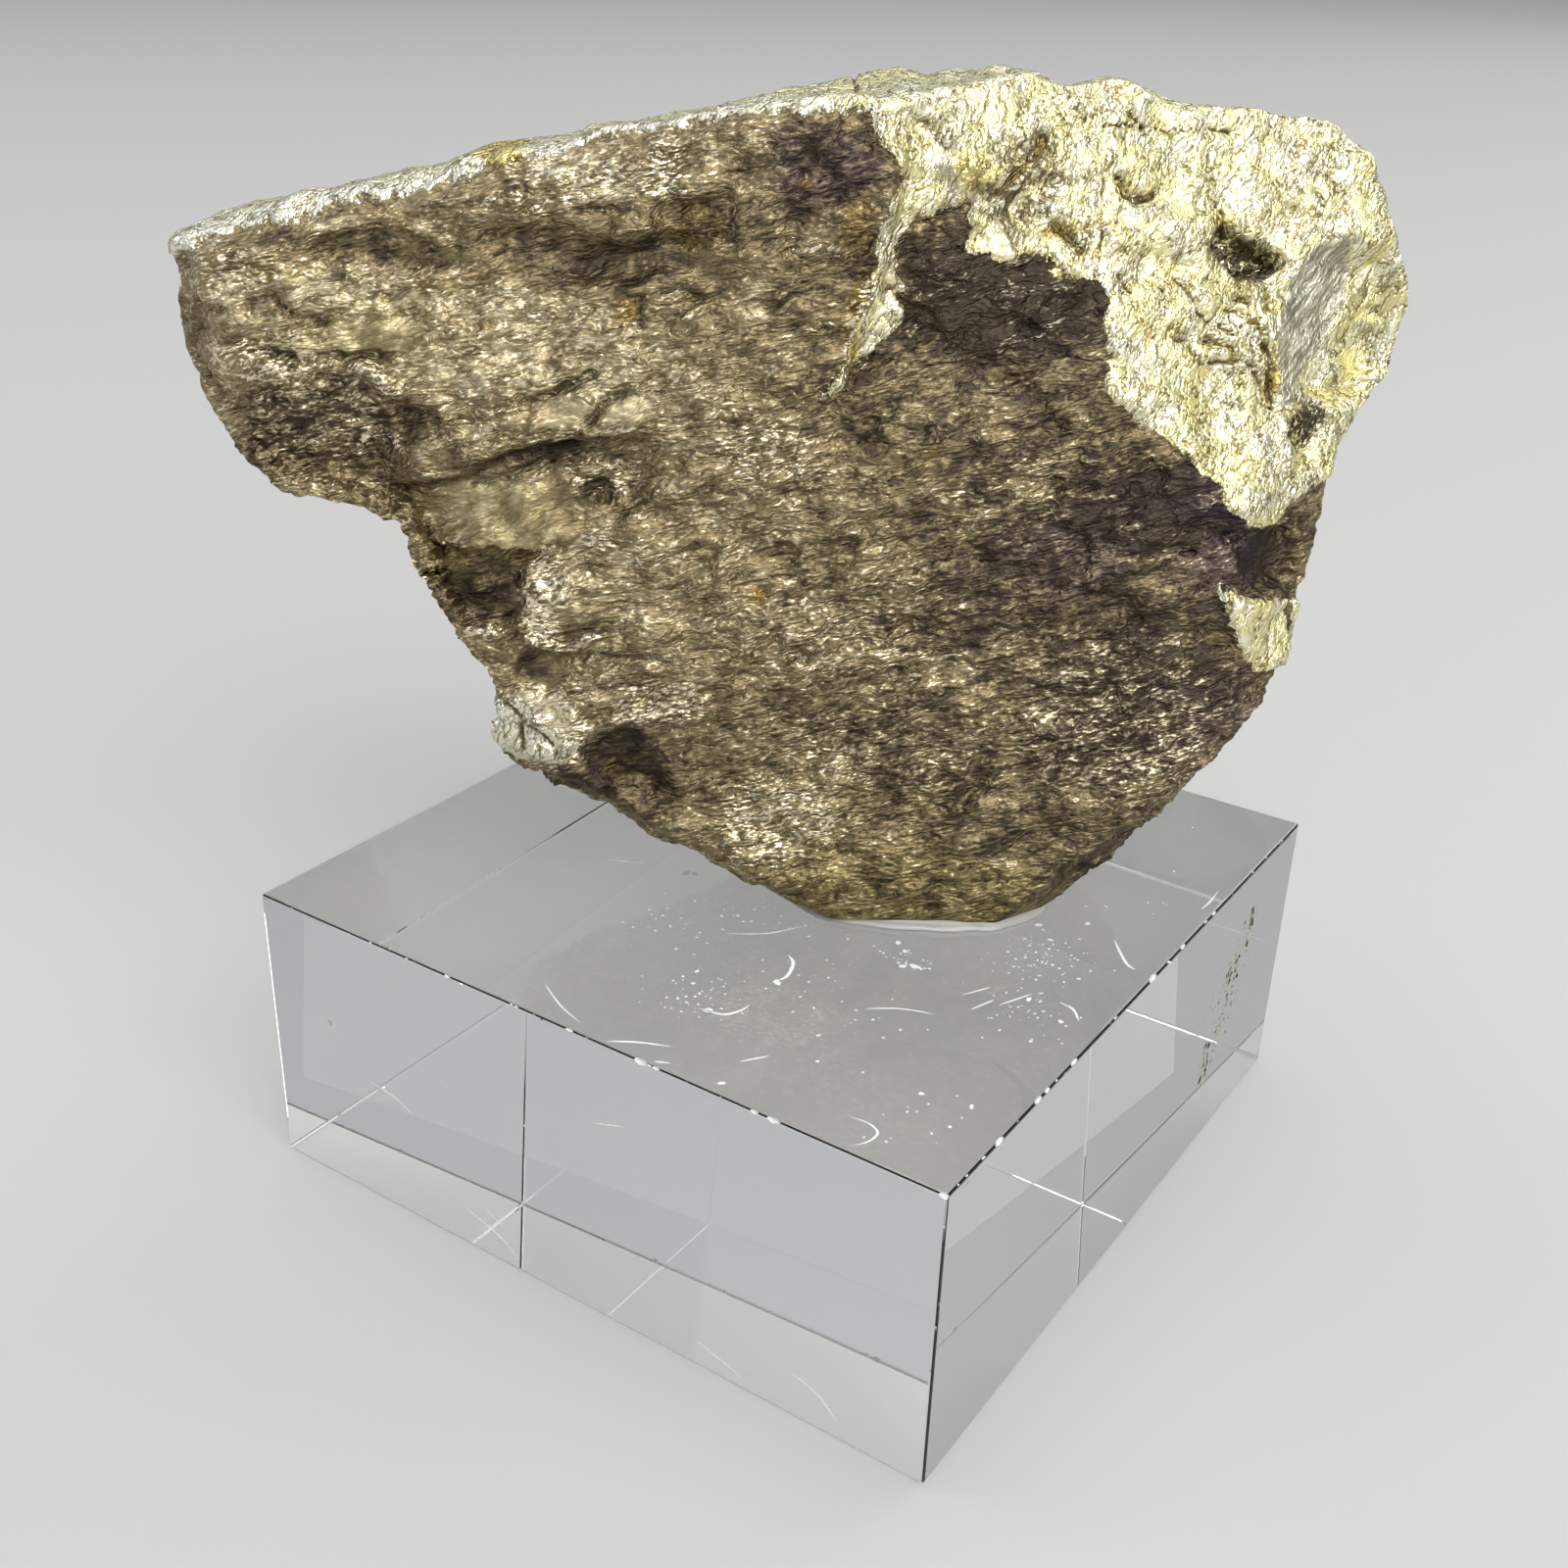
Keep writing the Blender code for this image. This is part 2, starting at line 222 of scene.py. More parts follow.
# %% The broad face's outline
STONE_OUTLINE = [
    (-37.2, 36.8), (-36.9, 39.4), (-34.6, 40.8), (-31.4, 41.4), (-28.2, 42.0),
    (-23.4, 43.0), (-21.6, 44.0), (-18.6, 44.3), (-13.0, 45.6), (-6.3, 47.0),
    (0.5, 48.1), (6.0, 48.8), (10.2, 49.4), (12.8, 48.9), (15.8, 49.2),
    (18.6, 48.0), (22.0, 47.9), (27.6, 47.4), (31.0, 45.2), (32.8, 41.9),
    (34.1, 36.8), (33.8, 33.2), (31.6, 30.8), (29.7, 28.4), (29.8, 26.6),
    (29.2, 22.8), (28.5, 19.6), (28.3, 17.3), (26.5, 14.0), (23.1, 9.6),
    (19.8, 4.4), (16.3, 1.2), (13.6, -0.4), (2.4, -0.4), (0.4, 0.2),
    (-3.8, 2.0), (-7.0, 4.1), (-11.2, 5.9), (-15.2, 7.2), (-18.8, 9.6),
    (-18.6, 13.2), (-19.2, 15.2), (-21.2, 17.9), (-23.4, 21.9), (-24.4, 24.7),
    (-27.0, 25.6), (-30.4, 26.4), (-32.9, 28.4), (-35.6, 30.6), (-36.8, 34.0),
]
STONE_DEPTH = 24.0
print("outline points", len(STONE_OUTLINE))

# %% The breaks
FOOT_HEIGHT = 0.3
FACETS = {
    "broad_face": ((0.0, -9.0, 0.0), (0.0, -1.0, 0.09)),
    "fresh_break": ((15.5, -5.6, 34.5), (0.26, -0.88, 0.39)),
    "fresh_crown": ((14.9, -5.4, 38.6), (0.24, -0.85, 0.50)),
    "lower_right_break": ((25.6, -6.6, 19.5), (0.62, -0.76, 0.10)),
    "left_tip": ((-36.8, -2.4, 37.0), (-0.78, -0.62, -0.05)),
    "left_rim": ((-28.0, -5.0, 40.9), (-0.21, -0.42, 0.88)),
    "middle_top": ((-8.0, -4.7, 47.2), (-0.22, 0.14, 0.96)),
    "left_undercut": ((0.5, -8.9, 1.0), (-0.42, -0.60, -0.68)),
    "right_undercut": ((12.0, -9.0, 1.0), (0.50, -0.75, -0.43)),
    "back": ((0.0, 7.6, 24.0), (0.04, 1.0, -0.06)),
    "back_left": ((-26.0, 6.0, 34.0), (-0.20, 0.97, 0.12)),
    "back_left_tip": ((-36.0, 3.4, 36.0), (-0.80, 0.58, -0.10)),
    "back_top": ((4.0, 6.6, 46.4), (0.05, 0.62, 0.78)),
    "back_right": ((28.0, 8.4, 34.0), (0.40, 0.90, 0.10)),
    "back_low_right": ((20.0, 6.6, 14.0), (0.45, 0.82, -0.35)),
    "back_low_left": ((-14.0, 6.4, 14.0), (-0.30, 0.80, -0.52)),
    "back_foot": ((6.0, 4.6, 2.0), (0.0, 0.86, -0.51)),
    "foot": ((0.0, 0.0, FOOT_HEIGHT), (0.0, 0.0, -1.0)),
}
print("breaks", len(FACETS))

# %% Break the slab
def break_facet(mesh, point, facing):
    """Cut the slab along a plane and close the cut with a flat facet."""
    everything = mesh.verts[:] + mesh.edges[:] + mesh.faces[:]
    cut = bmesh.ops.bisect_plane(
        mesh, geom=everything, plane_co=Vector(point), plane_no=Vector(facing).normalized(), clear_outer=True
    )
    lips = [item for item in cut["geom_cut"] if isinstance(item, bmesh.types.BMEdge) and item.is_boundary]
    bmesh.ops.triangle_fill(mesh, edges=lips, use_beauty=True)


def rough_slab():
    """The outline given its depth, then broken to its main facets."""
    mesh = bmesh.new()
    ring = [mesh.verts.new((x, -STONE_DEPTH / 2, z)) for x, z in STONE_OUTLINE]
    grown = bmesh.ops.extrude_face_region(mesh, geom=[mesh.faces.new(ring)])
    back = [item for item in grown["geom"] if isinstance(item, bmesh.types.BMVert)]
    bmesh.ops.translate(mesh, vec=(0, STONE_DEPTH, 0), verts=back)
    bmesh.ops.recalc_face_normals(mesh, faces=mesh.faces[:])
    bmesh.ops.triangulate(mesh, faces=mesh.faces[:])
    for point, facing in FACETS.values():
        break_facet(mesh, point, facing)
    return mesh


stone = rough_slab()
print("slab faces", len(stone.faces))

# %% [markdown]
# ## Crystals
# Pyrite grows in cubes, and a small cluster of them shows at the lower left corner. Each is a plain cube
# turned at an odd angle and sunk into the stone, so that only corners and edges stand out. They stay loose
# lumps here, and the next step makes them one with the stone.

# %% Crystals
CRYSTALS = [
    ((-17.6, -5.6, 14.3), 2.0, (20, 30, 15)),
    ((-16.0, -6.7, 12.6), 1.9, (40, 15, 35)),
    ((-17.6, -5.8, 11.6), 2.2, (10, 40, 50)),
    ((-14.8, -7.3, 12.9), 1.5, (30, 20, 60)),
    ((-15.4, -6.9, 11.0), 1.7, (50, 10, 25)),
]
for centre, size, turns in CRYSTALS:
    cube = bmesh.ops.create_cube(stone, size=size)["verts"]
    for axis, degrees in zip("XYZ", turns):
        spin = Matrix.Rotation(math.radians(degrees), 3, axis)
        bmesh.ops.rotate(stone, verts=cube, cent=(0, 0, 0), matrix=spin)
    bmesh.ops.translate(stone, vec=centre, verts=cube)
print("crystals", len(CRYSTALS))

# %% [markdown]
# ## An even mesh
# The broken slab has long thin triangles, which can't take fine relief. Subdividing them would keep their
# uneven lengths, so a voxel remesh is used instead: it wraps everything in one skin of even quads. The
# voxel is as small as keeps the stone under 200,000 triangles, and a few smoothing passes take away its
# steps.

# %% Even mesh
STONE_VOXEL = 0.295
SMOOTH_PASSES = 3


def remeshed(mesh, voxel):
    """The same shape in even quads, with every lump fused into one body."""
    helper = link_piece(mesh, "remesh_helper", simple_material("helper", (0.5, 0.5, 0.5), 0.5))
    step = helper.modifiers.new("even", "REMESH")
    step.mode = "VOXEL"
    step.voxel_size = voxel
    graph = bpy.context.evaluated_depsgraph_get()
    fine = bmesh.new()
    fine.from_mesh(helper.evaluated_get(graph).to_mesh())
    bpy.data.objects.remove(helper, do_unlink=True)
    return fine


stone = remeshed(stone, STONE_VOXEL)
for _ in range(SMOOTH_PASSES):
    bmesh.ops.smooth_vert(
        stone, verts=stone.verts[:], factor=0.5, use_axis_x=True, use_axis_y=True, use_axis_z=True
    )
stone.normal_update()
print("stone points", len(stone.verts))

# %% [markdown]
# ## Working on all points at once
# The relief is worked out for every point of the stone together. A few small helpers do the measuring:
# smooth steps, dips, distances to drawn lines and outlines, and smooth noise.

# %% Steps, lines and dips
DISH_FADE = (0.35, 1.15)


def ramp(low, high, value):
    """A smooth step from 0 at low to 1 at high."""
    share = np.clip((value - low) / (high - low), 0.0, 1.0)
    return share * share * (3.0 - 2.0 * share)


def between(rise, fall, value):
    """1 between a smooth rise and a smooth fall, each given as a (start, end) pair."""
    return ramp(*rise, value) * (1.0 - ramp(*fall, value))


def read_line(points, at):
    """The height of a broken line, given as (place, height) points, at each place."""
    return np.interp(at, [place for place, _ in points], [height for _, height in points])


def dish(x, z, centre, radii, depth):
    """A round dip, deepest at its centre."""
    reach = np.hypot((x - centre[0]) / radii[0], (z - centre[1]) / radii[1])
    return depth * (1.0 - ramp(*DISH_FADE, reach))


print("halfway up a step", float(ramp(0.0, 2.0, 1.0)))

# %% Distances and noise
def line_distance(x, z, line):
    """Millimetres from each place to a drawn line."""
    nearest = np.full(len(x), 1e9)
    for (x0, z0), (x1, z1) in zip(line, line[1:]):
        run, rise = x1 - x0, z1 - z0
        share = np.clip(((x - x0) * run + (z - z0) * rise) / (run * run + rise * rise), 0.0, 1.0)
        nearest = np.minimum(nearest, np.hypot(x - x0 - share * run, z - z0 - share * rise))
    return nearest


def signed_distance(x, z, outline):
    """Millimetres from each place to a closed outline, positive inside."""
    ring = outline + outline[:1]
    inside = np.zeros(len(x), bool)
    for (x0, z0), (x1, z1) in zip(ring, ring[1:]):
        if z0 != z1:
            crossing = x0 + (z - z0) * (x1 - x0) / (z1 - z0)
            inside ^= ((z0 > z) != (z1 > z)) & (x < crossing)
    away = line_distance(x, z, ring)
    return np.where(inside, away, -away)


def noise_field(points, lengths, seed):
    """Smooth noise from -1 to 1 at every point, stretched by three lengths in millimetres."""
    shift = Vector((0.0, seed, -seed))
    return np.array([noise.noise(Vector(place) + shift) for place in points / np.array(lengths)])


stone_points = np.array([vert.co for vert in stone.verts])
stone_normals = np.array([vert.normal for vert in stone.verts])
print("points", stone_points.shape)

# %% [markdown]
# ## Jagged edges
# Nothing on a broken stone has an even edge. Instead of drawing hundreds of small jags, every place on the
# face is pushed a little by smooth noise before it is compared with a drawn line: once by slow, wide noise
# for the big forms, and once by fine noise for crisp edges. Blender's vector noise follows the clock unless
# it is given a seed, so it gets one here, the same as in the solid, and every run makes the same stone.

# %% Jagged places
WANDER = 1.3
WANDER_LENGTH = 3.2
WANDER_SEED = 5
JAG = 0.34
JAG_LENGTH = 0.8


def pushed(x, z, length, reach):
    """The same places pushed about by smooth noise, so that nothing drawn has an even edge."""
    pushes = np.array([noise.noise_vector(Vector((u / length, 0.0, v / length))) for u, v in zip(x, z)])
    return x + reach * pushes[:, 0], z + reach * pushes[:, 2]


noise.seed_set(WANDER_SEED)
wide_x, wide_z = pushed(stone_points[:, 0], stone_points[:, 2], WANDER_LENGTH, WANDER)
near_x, near_z = pushed(stone_points[:, 0], stone_points[:, 2], JAG_LENGTH, JAG)
print("largest push", round(float(np.abs(wide_x - stone_points[:, 0]).max()), 2), "mm")

# %% [markdown]
# ## Where the fresh break is
# The bright break meets the tarnish along a sharp line. It could be painted by hand, but a distance stays
# sharp at any mesh size, so each point of the stone gets its distance in millimetres to the drawn outlines,
# positive on the fresh side. Relief and colour both read it, so they agree. A small facet at the lower
# right, the crystals and the bright rim of the top edge count as fresh too, and towards the back they all
# end along a ragged line.

# %% Outlines of the fresh places
FRESH_OUTLINE = [
    (0.8, 52.0), (0.9, 47.6), (2.1, 47.0), (2.7, 45.8), (3.8, 44.3), (3.1, 43.3),
    (2.6, 41.7), (2.4, 40.1), (2.2, 38.1), (1.3, 35.9), (1.1, 34.7), (0.4, 33.4), (-0.4, 32.4),
    (0.6, 33.0), (1.6, 34.6), (2.8, 35.4), (4.1, 36.9), (4.1, 38.3), (3.4, 40.8), (4.1, 42.1),
    (5.8, 42.9), (7.6, 42.8), (7.8, 40.7), (9.8, 40.4), (12.1, 40.2), (12.9, 39.3),
    (14.9, 38.6), (15.4, 36.4), (15.6, 34.5), (15.3, 33.5), (17.9, 31.5), (20.4, 30.1), (22.1, 28.5),
    (23.3, 27.0), (24.9, 25.8), (25.8, 25.4), (27.1, 26.4), (36.0, 27.5), (38.0, 52.0),
]
SMALL_FRESH_OUTLINE = [
    (22.8, 22.5), (24.6, 21.9), (27.4, 21.1), (30.0, 20.6), (30.0, 16.4), (26.3, 17.0), (24.4, 19.2),
]
CRYSTAL_OUTLINE = [
    (-19.4, 14.6), (-17.8, 15.0), (-16.9, 14.2), (-16.6, 13.2), (-15.2, 12.4), (-14.4, 11.5), (-15.2, 10.7),
    (-17.6, 10.3), (-19.2, 11.6),
]
RIM_LINE = [
    (-38.0, 38.2), (-36.0, 39.4), (-33.0, 40.4), (-29.4, 41.1), (-28.3, 41.7), (-21.8, 43.1),
    (-19.7, 43.7), (-15.4, 44.8), (-10.7, 46.2), (-3.9, 47.2), (0.9, 47.6),
]
print("points of the outlines", len(FRESH_OUTLINE + SMALL_FRESH_OUTLINE + CRYSTAL_OUTLINE))
print("points of the rim", len(RIM_LINE))

# %% Distance to the fresh break
RIM_FRONT = -4.7
RIM_BACK_SLOPE = 0.14
FRESH_BACK = 6.0
FRESH_RISE = 0.22
FRESH_RISE_FROM = -5.0
FRESH_RAGGED_FROM = (-5.5, -2.0)
WELL_OUTSIDE = -9.0
SMALL_FRESH_BACK = -3.4
CRYSTAL_BACK = -5.0
RAGGED_WIDE = (3.0, 3.0, 3.0)
RAGGED_FINE = (1.1, 1.1, 1.1)
RAGGEDNESS = {"main": 1.5, "small": 2.5, "crystals": 0.6, "crystals back": 1.2, "back": 1.6}


def fresh_distances():
    """Distance into the fresh break, the small fresh facet or the bright rim, whichever is deepest."""
    depth = stone_points[:, 1]
    ragged = noise_field(stone_points, RAGGED_WIDE, 83.0)
    ragged = ragged + 0.5 * noise_field(stone_points, RAGGED_FINE, 89.0)
    lowered = near_z - FRESH_RISE * np.maximum(depth - FRESH_RISE_FROM, 0.0)
    main = signed_distance(near_x, lowered, FRESH_OUTLINE)
    main += RAGGEDNESS["main"] * ragged * ramp(*FRESH_RAGGED_FROM, depth)
    small = signed_distance(near_x, near_z, SMALL_FRESH_OUTLINE)
    small = np.minimum(small, SMALL_FRESH_BACK + RAGGEDNESS["small"] * ragged - depth)
    crystals = signed_distance(near_x, near_z, CRYSTAL_OUTLINE) + RAGGEDNESS["crystals"] * ragged
    crystals = np.minimum(crystals, CRYSTAL_BACK + RAGGEDNESS["crystals back"] * ragged - depth)
    small = np.maximum(small, crystals)
    rim = near_z - read_line(RIM_LINE, near_x) + RIM_BACK_SLOPE * (depth - RIM_FRONT)
    rim = np.where(stone_points[:, 0] < RIM_LINE[-1][0], rim, WELL_OUTSIDE)
    front = np.maximum(np.maximum(main, small), rim)
    return np.minimum(front, FRESH_BACK + RAGGEDNESS["back"] * ragged - depth)


fresh = fresh_distances()
print("fresh share", round(float((fresh > 0).mean()), 3))

# %% [markdown]
# ## Large forms
# These forms are the ones that the solid stone has too: the dark bay, the ledge with its shadow, the square
# imprint, the hollows and the pit on the front, and two ledges and three hollows on the back. Sculpting
# them by hand would be hard to repeat, so each is a drawn line or outline and a depth, and all depths are
# added up for every point.

# %% Lines and outlines of the front
BAY_WALL_X = [(30.0, -1.0), (32.6, -0.2), (38.0, 2.2), (41.0, 2.6), (44.5, 3.2)]
BAY_DEPTH = 1.2
BAY_RISE = (29.5, 37.0)
BAY_FALL = (42.5, 45.5)
BAY_RIGHT_END = (11.0, 16.5)
LEDGE_LINE = [
    (-27.0, 26.0), (-24.8, 26.5), (-20.5, 27.6), (-18.2, 29.0), (-15.3, 29.6), (-12.4, 30.2), (-8.0, 30.4),
]
LEDGE_DEPTH = 1.3
LEDGE_PROFILE = ((-0.1, 0.5), (1.2, 6.0))
LEDGE_ENDS = ((-27.0, -22.0), (-12.0, -8.5))
IMPRINT = [
    (-23.4, 23.6), (-16.2, 23.5), (-16.2, 22.9), (-17.1, 22.5), (-17.2, 20.2), (-17.7, 19.0),
    (-18.7, 18.5), (-20.4, 18.8), (-24.0, 19.0),
]
IMPRINT_DEPTH = 1.3
HOLLOW = [
    (-13.4, 13.1), (-11.9, 13.0), (-10.4, 12.6), (-10.2, 11.0), (-9.3, 10.0), (-8.2, 8.4),
    (-9.8, 7.2), (-12.6, 7.9), (-14.2, 10.0), (-13.8, 11.9),
]
HOLLOW_DEPTH = 0.9
UNDERSIDE_LINE = [(-37.0, 34.5), (-30.0, 33.0), (-24.0, 33.6), (-21.0, 31.5)]
UNDERSIDE_DEPTH = 1.6
UNDERSIDE_RUN = 6.0
UNDERSIDE_END = (-25.5, -22.0)
STRIATED = [
    (28.2, 40.7), (29.9, 40.6), (30.8, 39.2), (30.9, 38.2), (30.2, 36.8), (29.2, 35.0), (27.6, 33.5),
    (26.6, 32.0), (26.3, 33.0), (26.0, 34.4), (25.9, 35.9), (26.1, 37.3), (26.6, 38.6), (27.4, 40.0),
]
STRIATED_LEFT = [(31.0, 26.6), (32.2, 26.3), (34.2, 25.7), (36.0, 25.7), (38.6, 26.5), (40.6, 27.8)]
STRIATED_SLOPE = 0.50
STRIATED_RUN = 3.4
STRIATED_RISE = (31.0, 32.6)
STRIATED_FALL = (39.6, 41.4)
PIT = [
    (21.6, 41.3), (22.5, 42.0), (23.3, 41.2), (24.5, 41.1), (25.9, 40.2), (25.9, 39.3),
    (24.6, 38.8), (23.0, 39.0), (22.3, 39.9), (21.4, 40.5),
]
PIT_DEPTH = 1.8
DENTS = [
    (IMPRINT, IMPRINT_DEPTH, (-0.1, 0.4)),
    (HOLLOW, HOLLOW_DEPTH, (-0.4, 1.4)),
    (PIT, PIT_DEPTH, (-0.2, 0.7)),
]
RIM_GROOVES = [((-24.8, 39.6), (6.0, 1.3), 0.5), ((-12.6, 39.7), (7.4, 1.8), 0.9)]
print("deepest front form", max(BAY_DEPTH, LEDGE_DEPTH, IMPRINT_DEPTH, PIT_DEPTH), "mm")

# %% Ledges and hollows of the back
BACK_LEDGES = [
    ([(-30.0, 35.5), (-12.0, 34.0), (2.0, 30.5), (14.0, 31.5), (33.0, 27.0)], 1.1),
    ([(-20.0, 19.5), (-6.0, 17.5), (8.0, 19.0), (26.0, 15.0)], 0.9),
]
BACK_HOLLOWS = [
    ((12.0, 38.5), (7.5, 4.6), 1.0),
    ((-19.0, 27.0), (6.0, 4.0), 0.8),
    ((5.0, 24.5), (8.0, 3.6), 0.7),
]
BACK_LEDGE_PROFILE = ((-0.2, 0.6), (1.5, 7.0))
print("back forms", len(BACK_LEDGES) + len(BACK_HOLLOWS))

# %% Depth of the large forms
def face_relief():
    """How far the broad face lies behind its plane, in millimetres."""
    x, z = wide_x, wide_z
    bay = ramp(0.0, 1.0, near_x - read_line(BAY_WALL_X, near_z)) * (1.0 - ramp(*BAY_RIGHT_END, x))
    depth = BAY_DEPTH * bay * between(BAY_RISE, BAY_FALL, z)
    below = read_line(LEDGE_LINE, near_x) - near_z
    depth += LEDGE_DEPTH * between(*LEDGE_PROFILE, below) * between(*LEDGE_ENDS, x)
    for outline, deepest, edge in DENTS:
        depth += deepest * ramp(*edge, signed_distance(near_x, near_z, outline))
    under = read_line(UNDERSIDE_LINE, x) - z
    depth += UNDERSIDE_DEPTH * ramp(0.0, UNDERSIDE_RUN, under) * (1.0 - ramp(*UNDERSIDE_END, x))
    past = np.clip(near_x - read_line(STRIATED_LEFT, near_z), 0.0, STRIATED_RUN)
    depth += STRIATED_SLOPE * past * between(STRIATED_RISE, STRIATED_FALL, z)
    return depth + sum(dish(x, z, *groove) for groove in RIM_GROOVES)


def back_relief():
    """How far the back lies inside its planes, in millimetres."""
    depth = sum(dish(wide_x, wide_z, *hollow) for hollow in BACK_HOLLOWS)
    for line, drop in BACK_LEDGES:
        depth += drop * between(*BACK_LEDGE_PROFILE, read_line(line, wide_x) - wide_z)
    return depth


face_depth = face_relief()
back_depth = back_relief()
print("deepest form", round(float(face_depth.max()), 2), "mm")

# %% [markdown]
# ## Cracks, bright lips and chips
# A real stone is read by its accidents, so these are drawn one by one where they are: cracks between
# plates, darkened later by painted shade, thin lips whose edges catch the light and get painted glints, and
# shallow chips with crisp outlines. Cracks and lips are lines, each with a width in millimetres and a depth
# or height. A chip is an outline and a depth, and a negative depth makes a raised plate.

# %% Cracks
CRACKS = [
    ([(-18.6, 14.5), (-17.4, 13.3), (-17.5, 11.1)], 0.22, 0.30),
    ([(-17.3, 13.1), (-16.2, 12.1), (-15.4, 11.0)], 0.20, 0.28),
    ([(-24.8, 26.5), (-20.5, 27.5), (-18.2, 28.8), (-15.3, 29.4), (-12.4, 30.0)], 0.42, 0.55),
    ([(23.0, 38.0), (24.2, 37.6)], 0.22, 0.30),
    ([(23.4, 36.4), (24.8, 36.9)], 0.20, 0.30),
    ([(22.0, 36.6), (23.0, 36.0)], 0.20, 0.25),
    ([(24.2, 34.4), (25.0, 33.4)], 0.24, 0.35),
    ([(20.6, 37.3), (21.6, 36.6)], 0.20, 0.25),
    ([(19.6, 36.0), (20.6, 35.4), (21.0, 34.6)], 0.20, 0.25),
    ([(21.6, 42.8), (22.4, 42.2)], 0.24, 0.30),
    ([(-31.9, 36.9), (-30.8, 37.3), (-30.0, 36.6), (-29.4, 36.0), (-28.0, 35.9)], 0.34, 0.55),
    ([(-32.0, 34.3), (-31.0, 34.3), (-29.8, 34.1)], 0.26, 0.40),
    ([(-28.1, 34.1), (-24.9, 34.2)], 0.42, 0.60),
    ([(-28.4, 38.2), (-26.6, 38.4)], 0.26, 0.35),
    ([(-24.2, 38.3), (-22.6, 39.0), (-20.6, 39.2)], 0.28, 0.35),
    ([(-16.8, 31.9), (-15.5, 32.3), (-14.2, 32.9), (-13.1, 33.4)], 0.32, 0.60),
    ([(-14.7, 32.9), (-13.4, 33.7), (-12.5, 34.1)], 0.24, 0.40),
    ([(-13.6, 30.5), (-12.5, 31.8), (-12.1, 32.3), (-10.9, 32.6)], 0.32, 0.60),
    ([(-14.3, 42.3), (-12.2, 42.4), (-10.6, 42.1)], 0.30, 0.45),
    ([(-9.2, 38.1), (-7.9, 38.3), (-7.2, 37.7)], 0.30, 0.40),
    ([(-4.4, 41.0), (-1.8, 41.0)], 0.24, 0.30),
    ([(-5.5, 31.0), (-4.3, 31.2)], 0.28, 0.40),
    ([(-10.5, 37.6), (-10.4, 36.1)], 0.34, 0.45),
    ([(-20.2, 27.1), (-18.4, 27.3), (-16.8, 28.1), (-15.4, 28.4)], 0.34, 0.45),
    ([(-13.7, 27.0), (-12.6, 27.3), (-12.4, 26.3)], 0.50, 0.70),
    ([(-14.2, 16.9), (-12.2, 17.3), (-9.6, 17.3), (-8.6, 16.8)], 0.26, 0.40),
    ([(-14.6, 14.9), (-12.6, 15.2), (-10.6, 15.6)], 0.24, 0.40),
    ([(-12.6, 18.9), (-14.6, 18.5), (-15.6, 18.2)], 0.28, 0.40),
    ([(-0.4, 32.1), (0.6, 32.5), (1.5, 34.0), (2.6, 35.0)], 0.26, 0.35),
    ([(2.9, 38.7), (4.4, 37.6), (5.7, 37.2)], 0.26, 0.40),
    ([(11.4, 36.0), (13.2, 35.5), (15.0, 34.9)], 0.22, 0.30),
    ([(15.8, 44.1), (16.2, 43.4), (16.9, 43.0), (18.1, 43.3)], 0.38, 0.60),
    ([(10.9, 45.4), (11.4, 46.2), (11.7, 45.4)], 0.50, 0.70),
    ([(12.4, 41.9), (13.2, 41.3), (14.0, 40.5)], 0.34, 0.40),
    ([(19.2, 39.1), (20.0, 38.4), (20.4, 37.8)], 0.24, 0.35),
    ([(18.2, 39.0), (18.7, 38.4)], 0.22, 0.30),
    ([(16.0, 39.3), (16.8, 38.3)], 0.24, 0.30),
    ([(22.6, 37.3), (23.7, 37.2)], 0.22, 0.30),
    ([(24.2, 36.7), (25.0, 36.1)], 0.24, 0.40),
    ([(21.4, 35.8), (22.8, 35.5), (23.3, 34.9)], 0.26, 0.40),
    ([(21.6, 34.7), (23.9, 34.6)], 0.22, 0.35),
    ([(25.2, 38.4), (25.3, 37.3)], 0.30, 0.45),
    ([(25.0, 35.4), (25.5, 34.6), (25.5, 33.6), (26.0, 32.3)], 0.40, 0.70),
    ([(28.0, 43.3), (28.3, 42.6)], 0.26, 0.35),
    ([(14.9, 44.0), (14.9, 41.0), (14.8, 38.6)], 0.14, 0.16),
    ([(12.8, 48.2), (13.7, 47.0), (15.5, 46.8), (17.4, 46.6), (20.0, 46.6), (22.6, 46.5)], 0.17, 0.26),
    ([(16.2, 47.4), (17.0, 46.9), (17.4, 46.5)], 0.22, 0.35),
    ([(9.0, 43.6), (10.2, 44.6), (11.0, 45.4)], 0.34, 0.30),
    ([(23.2, 25.5), (24.6, 23.6), (25.0, 22.0)], 0.30, 0.50),
]
print("cracks", len(CRACKS))

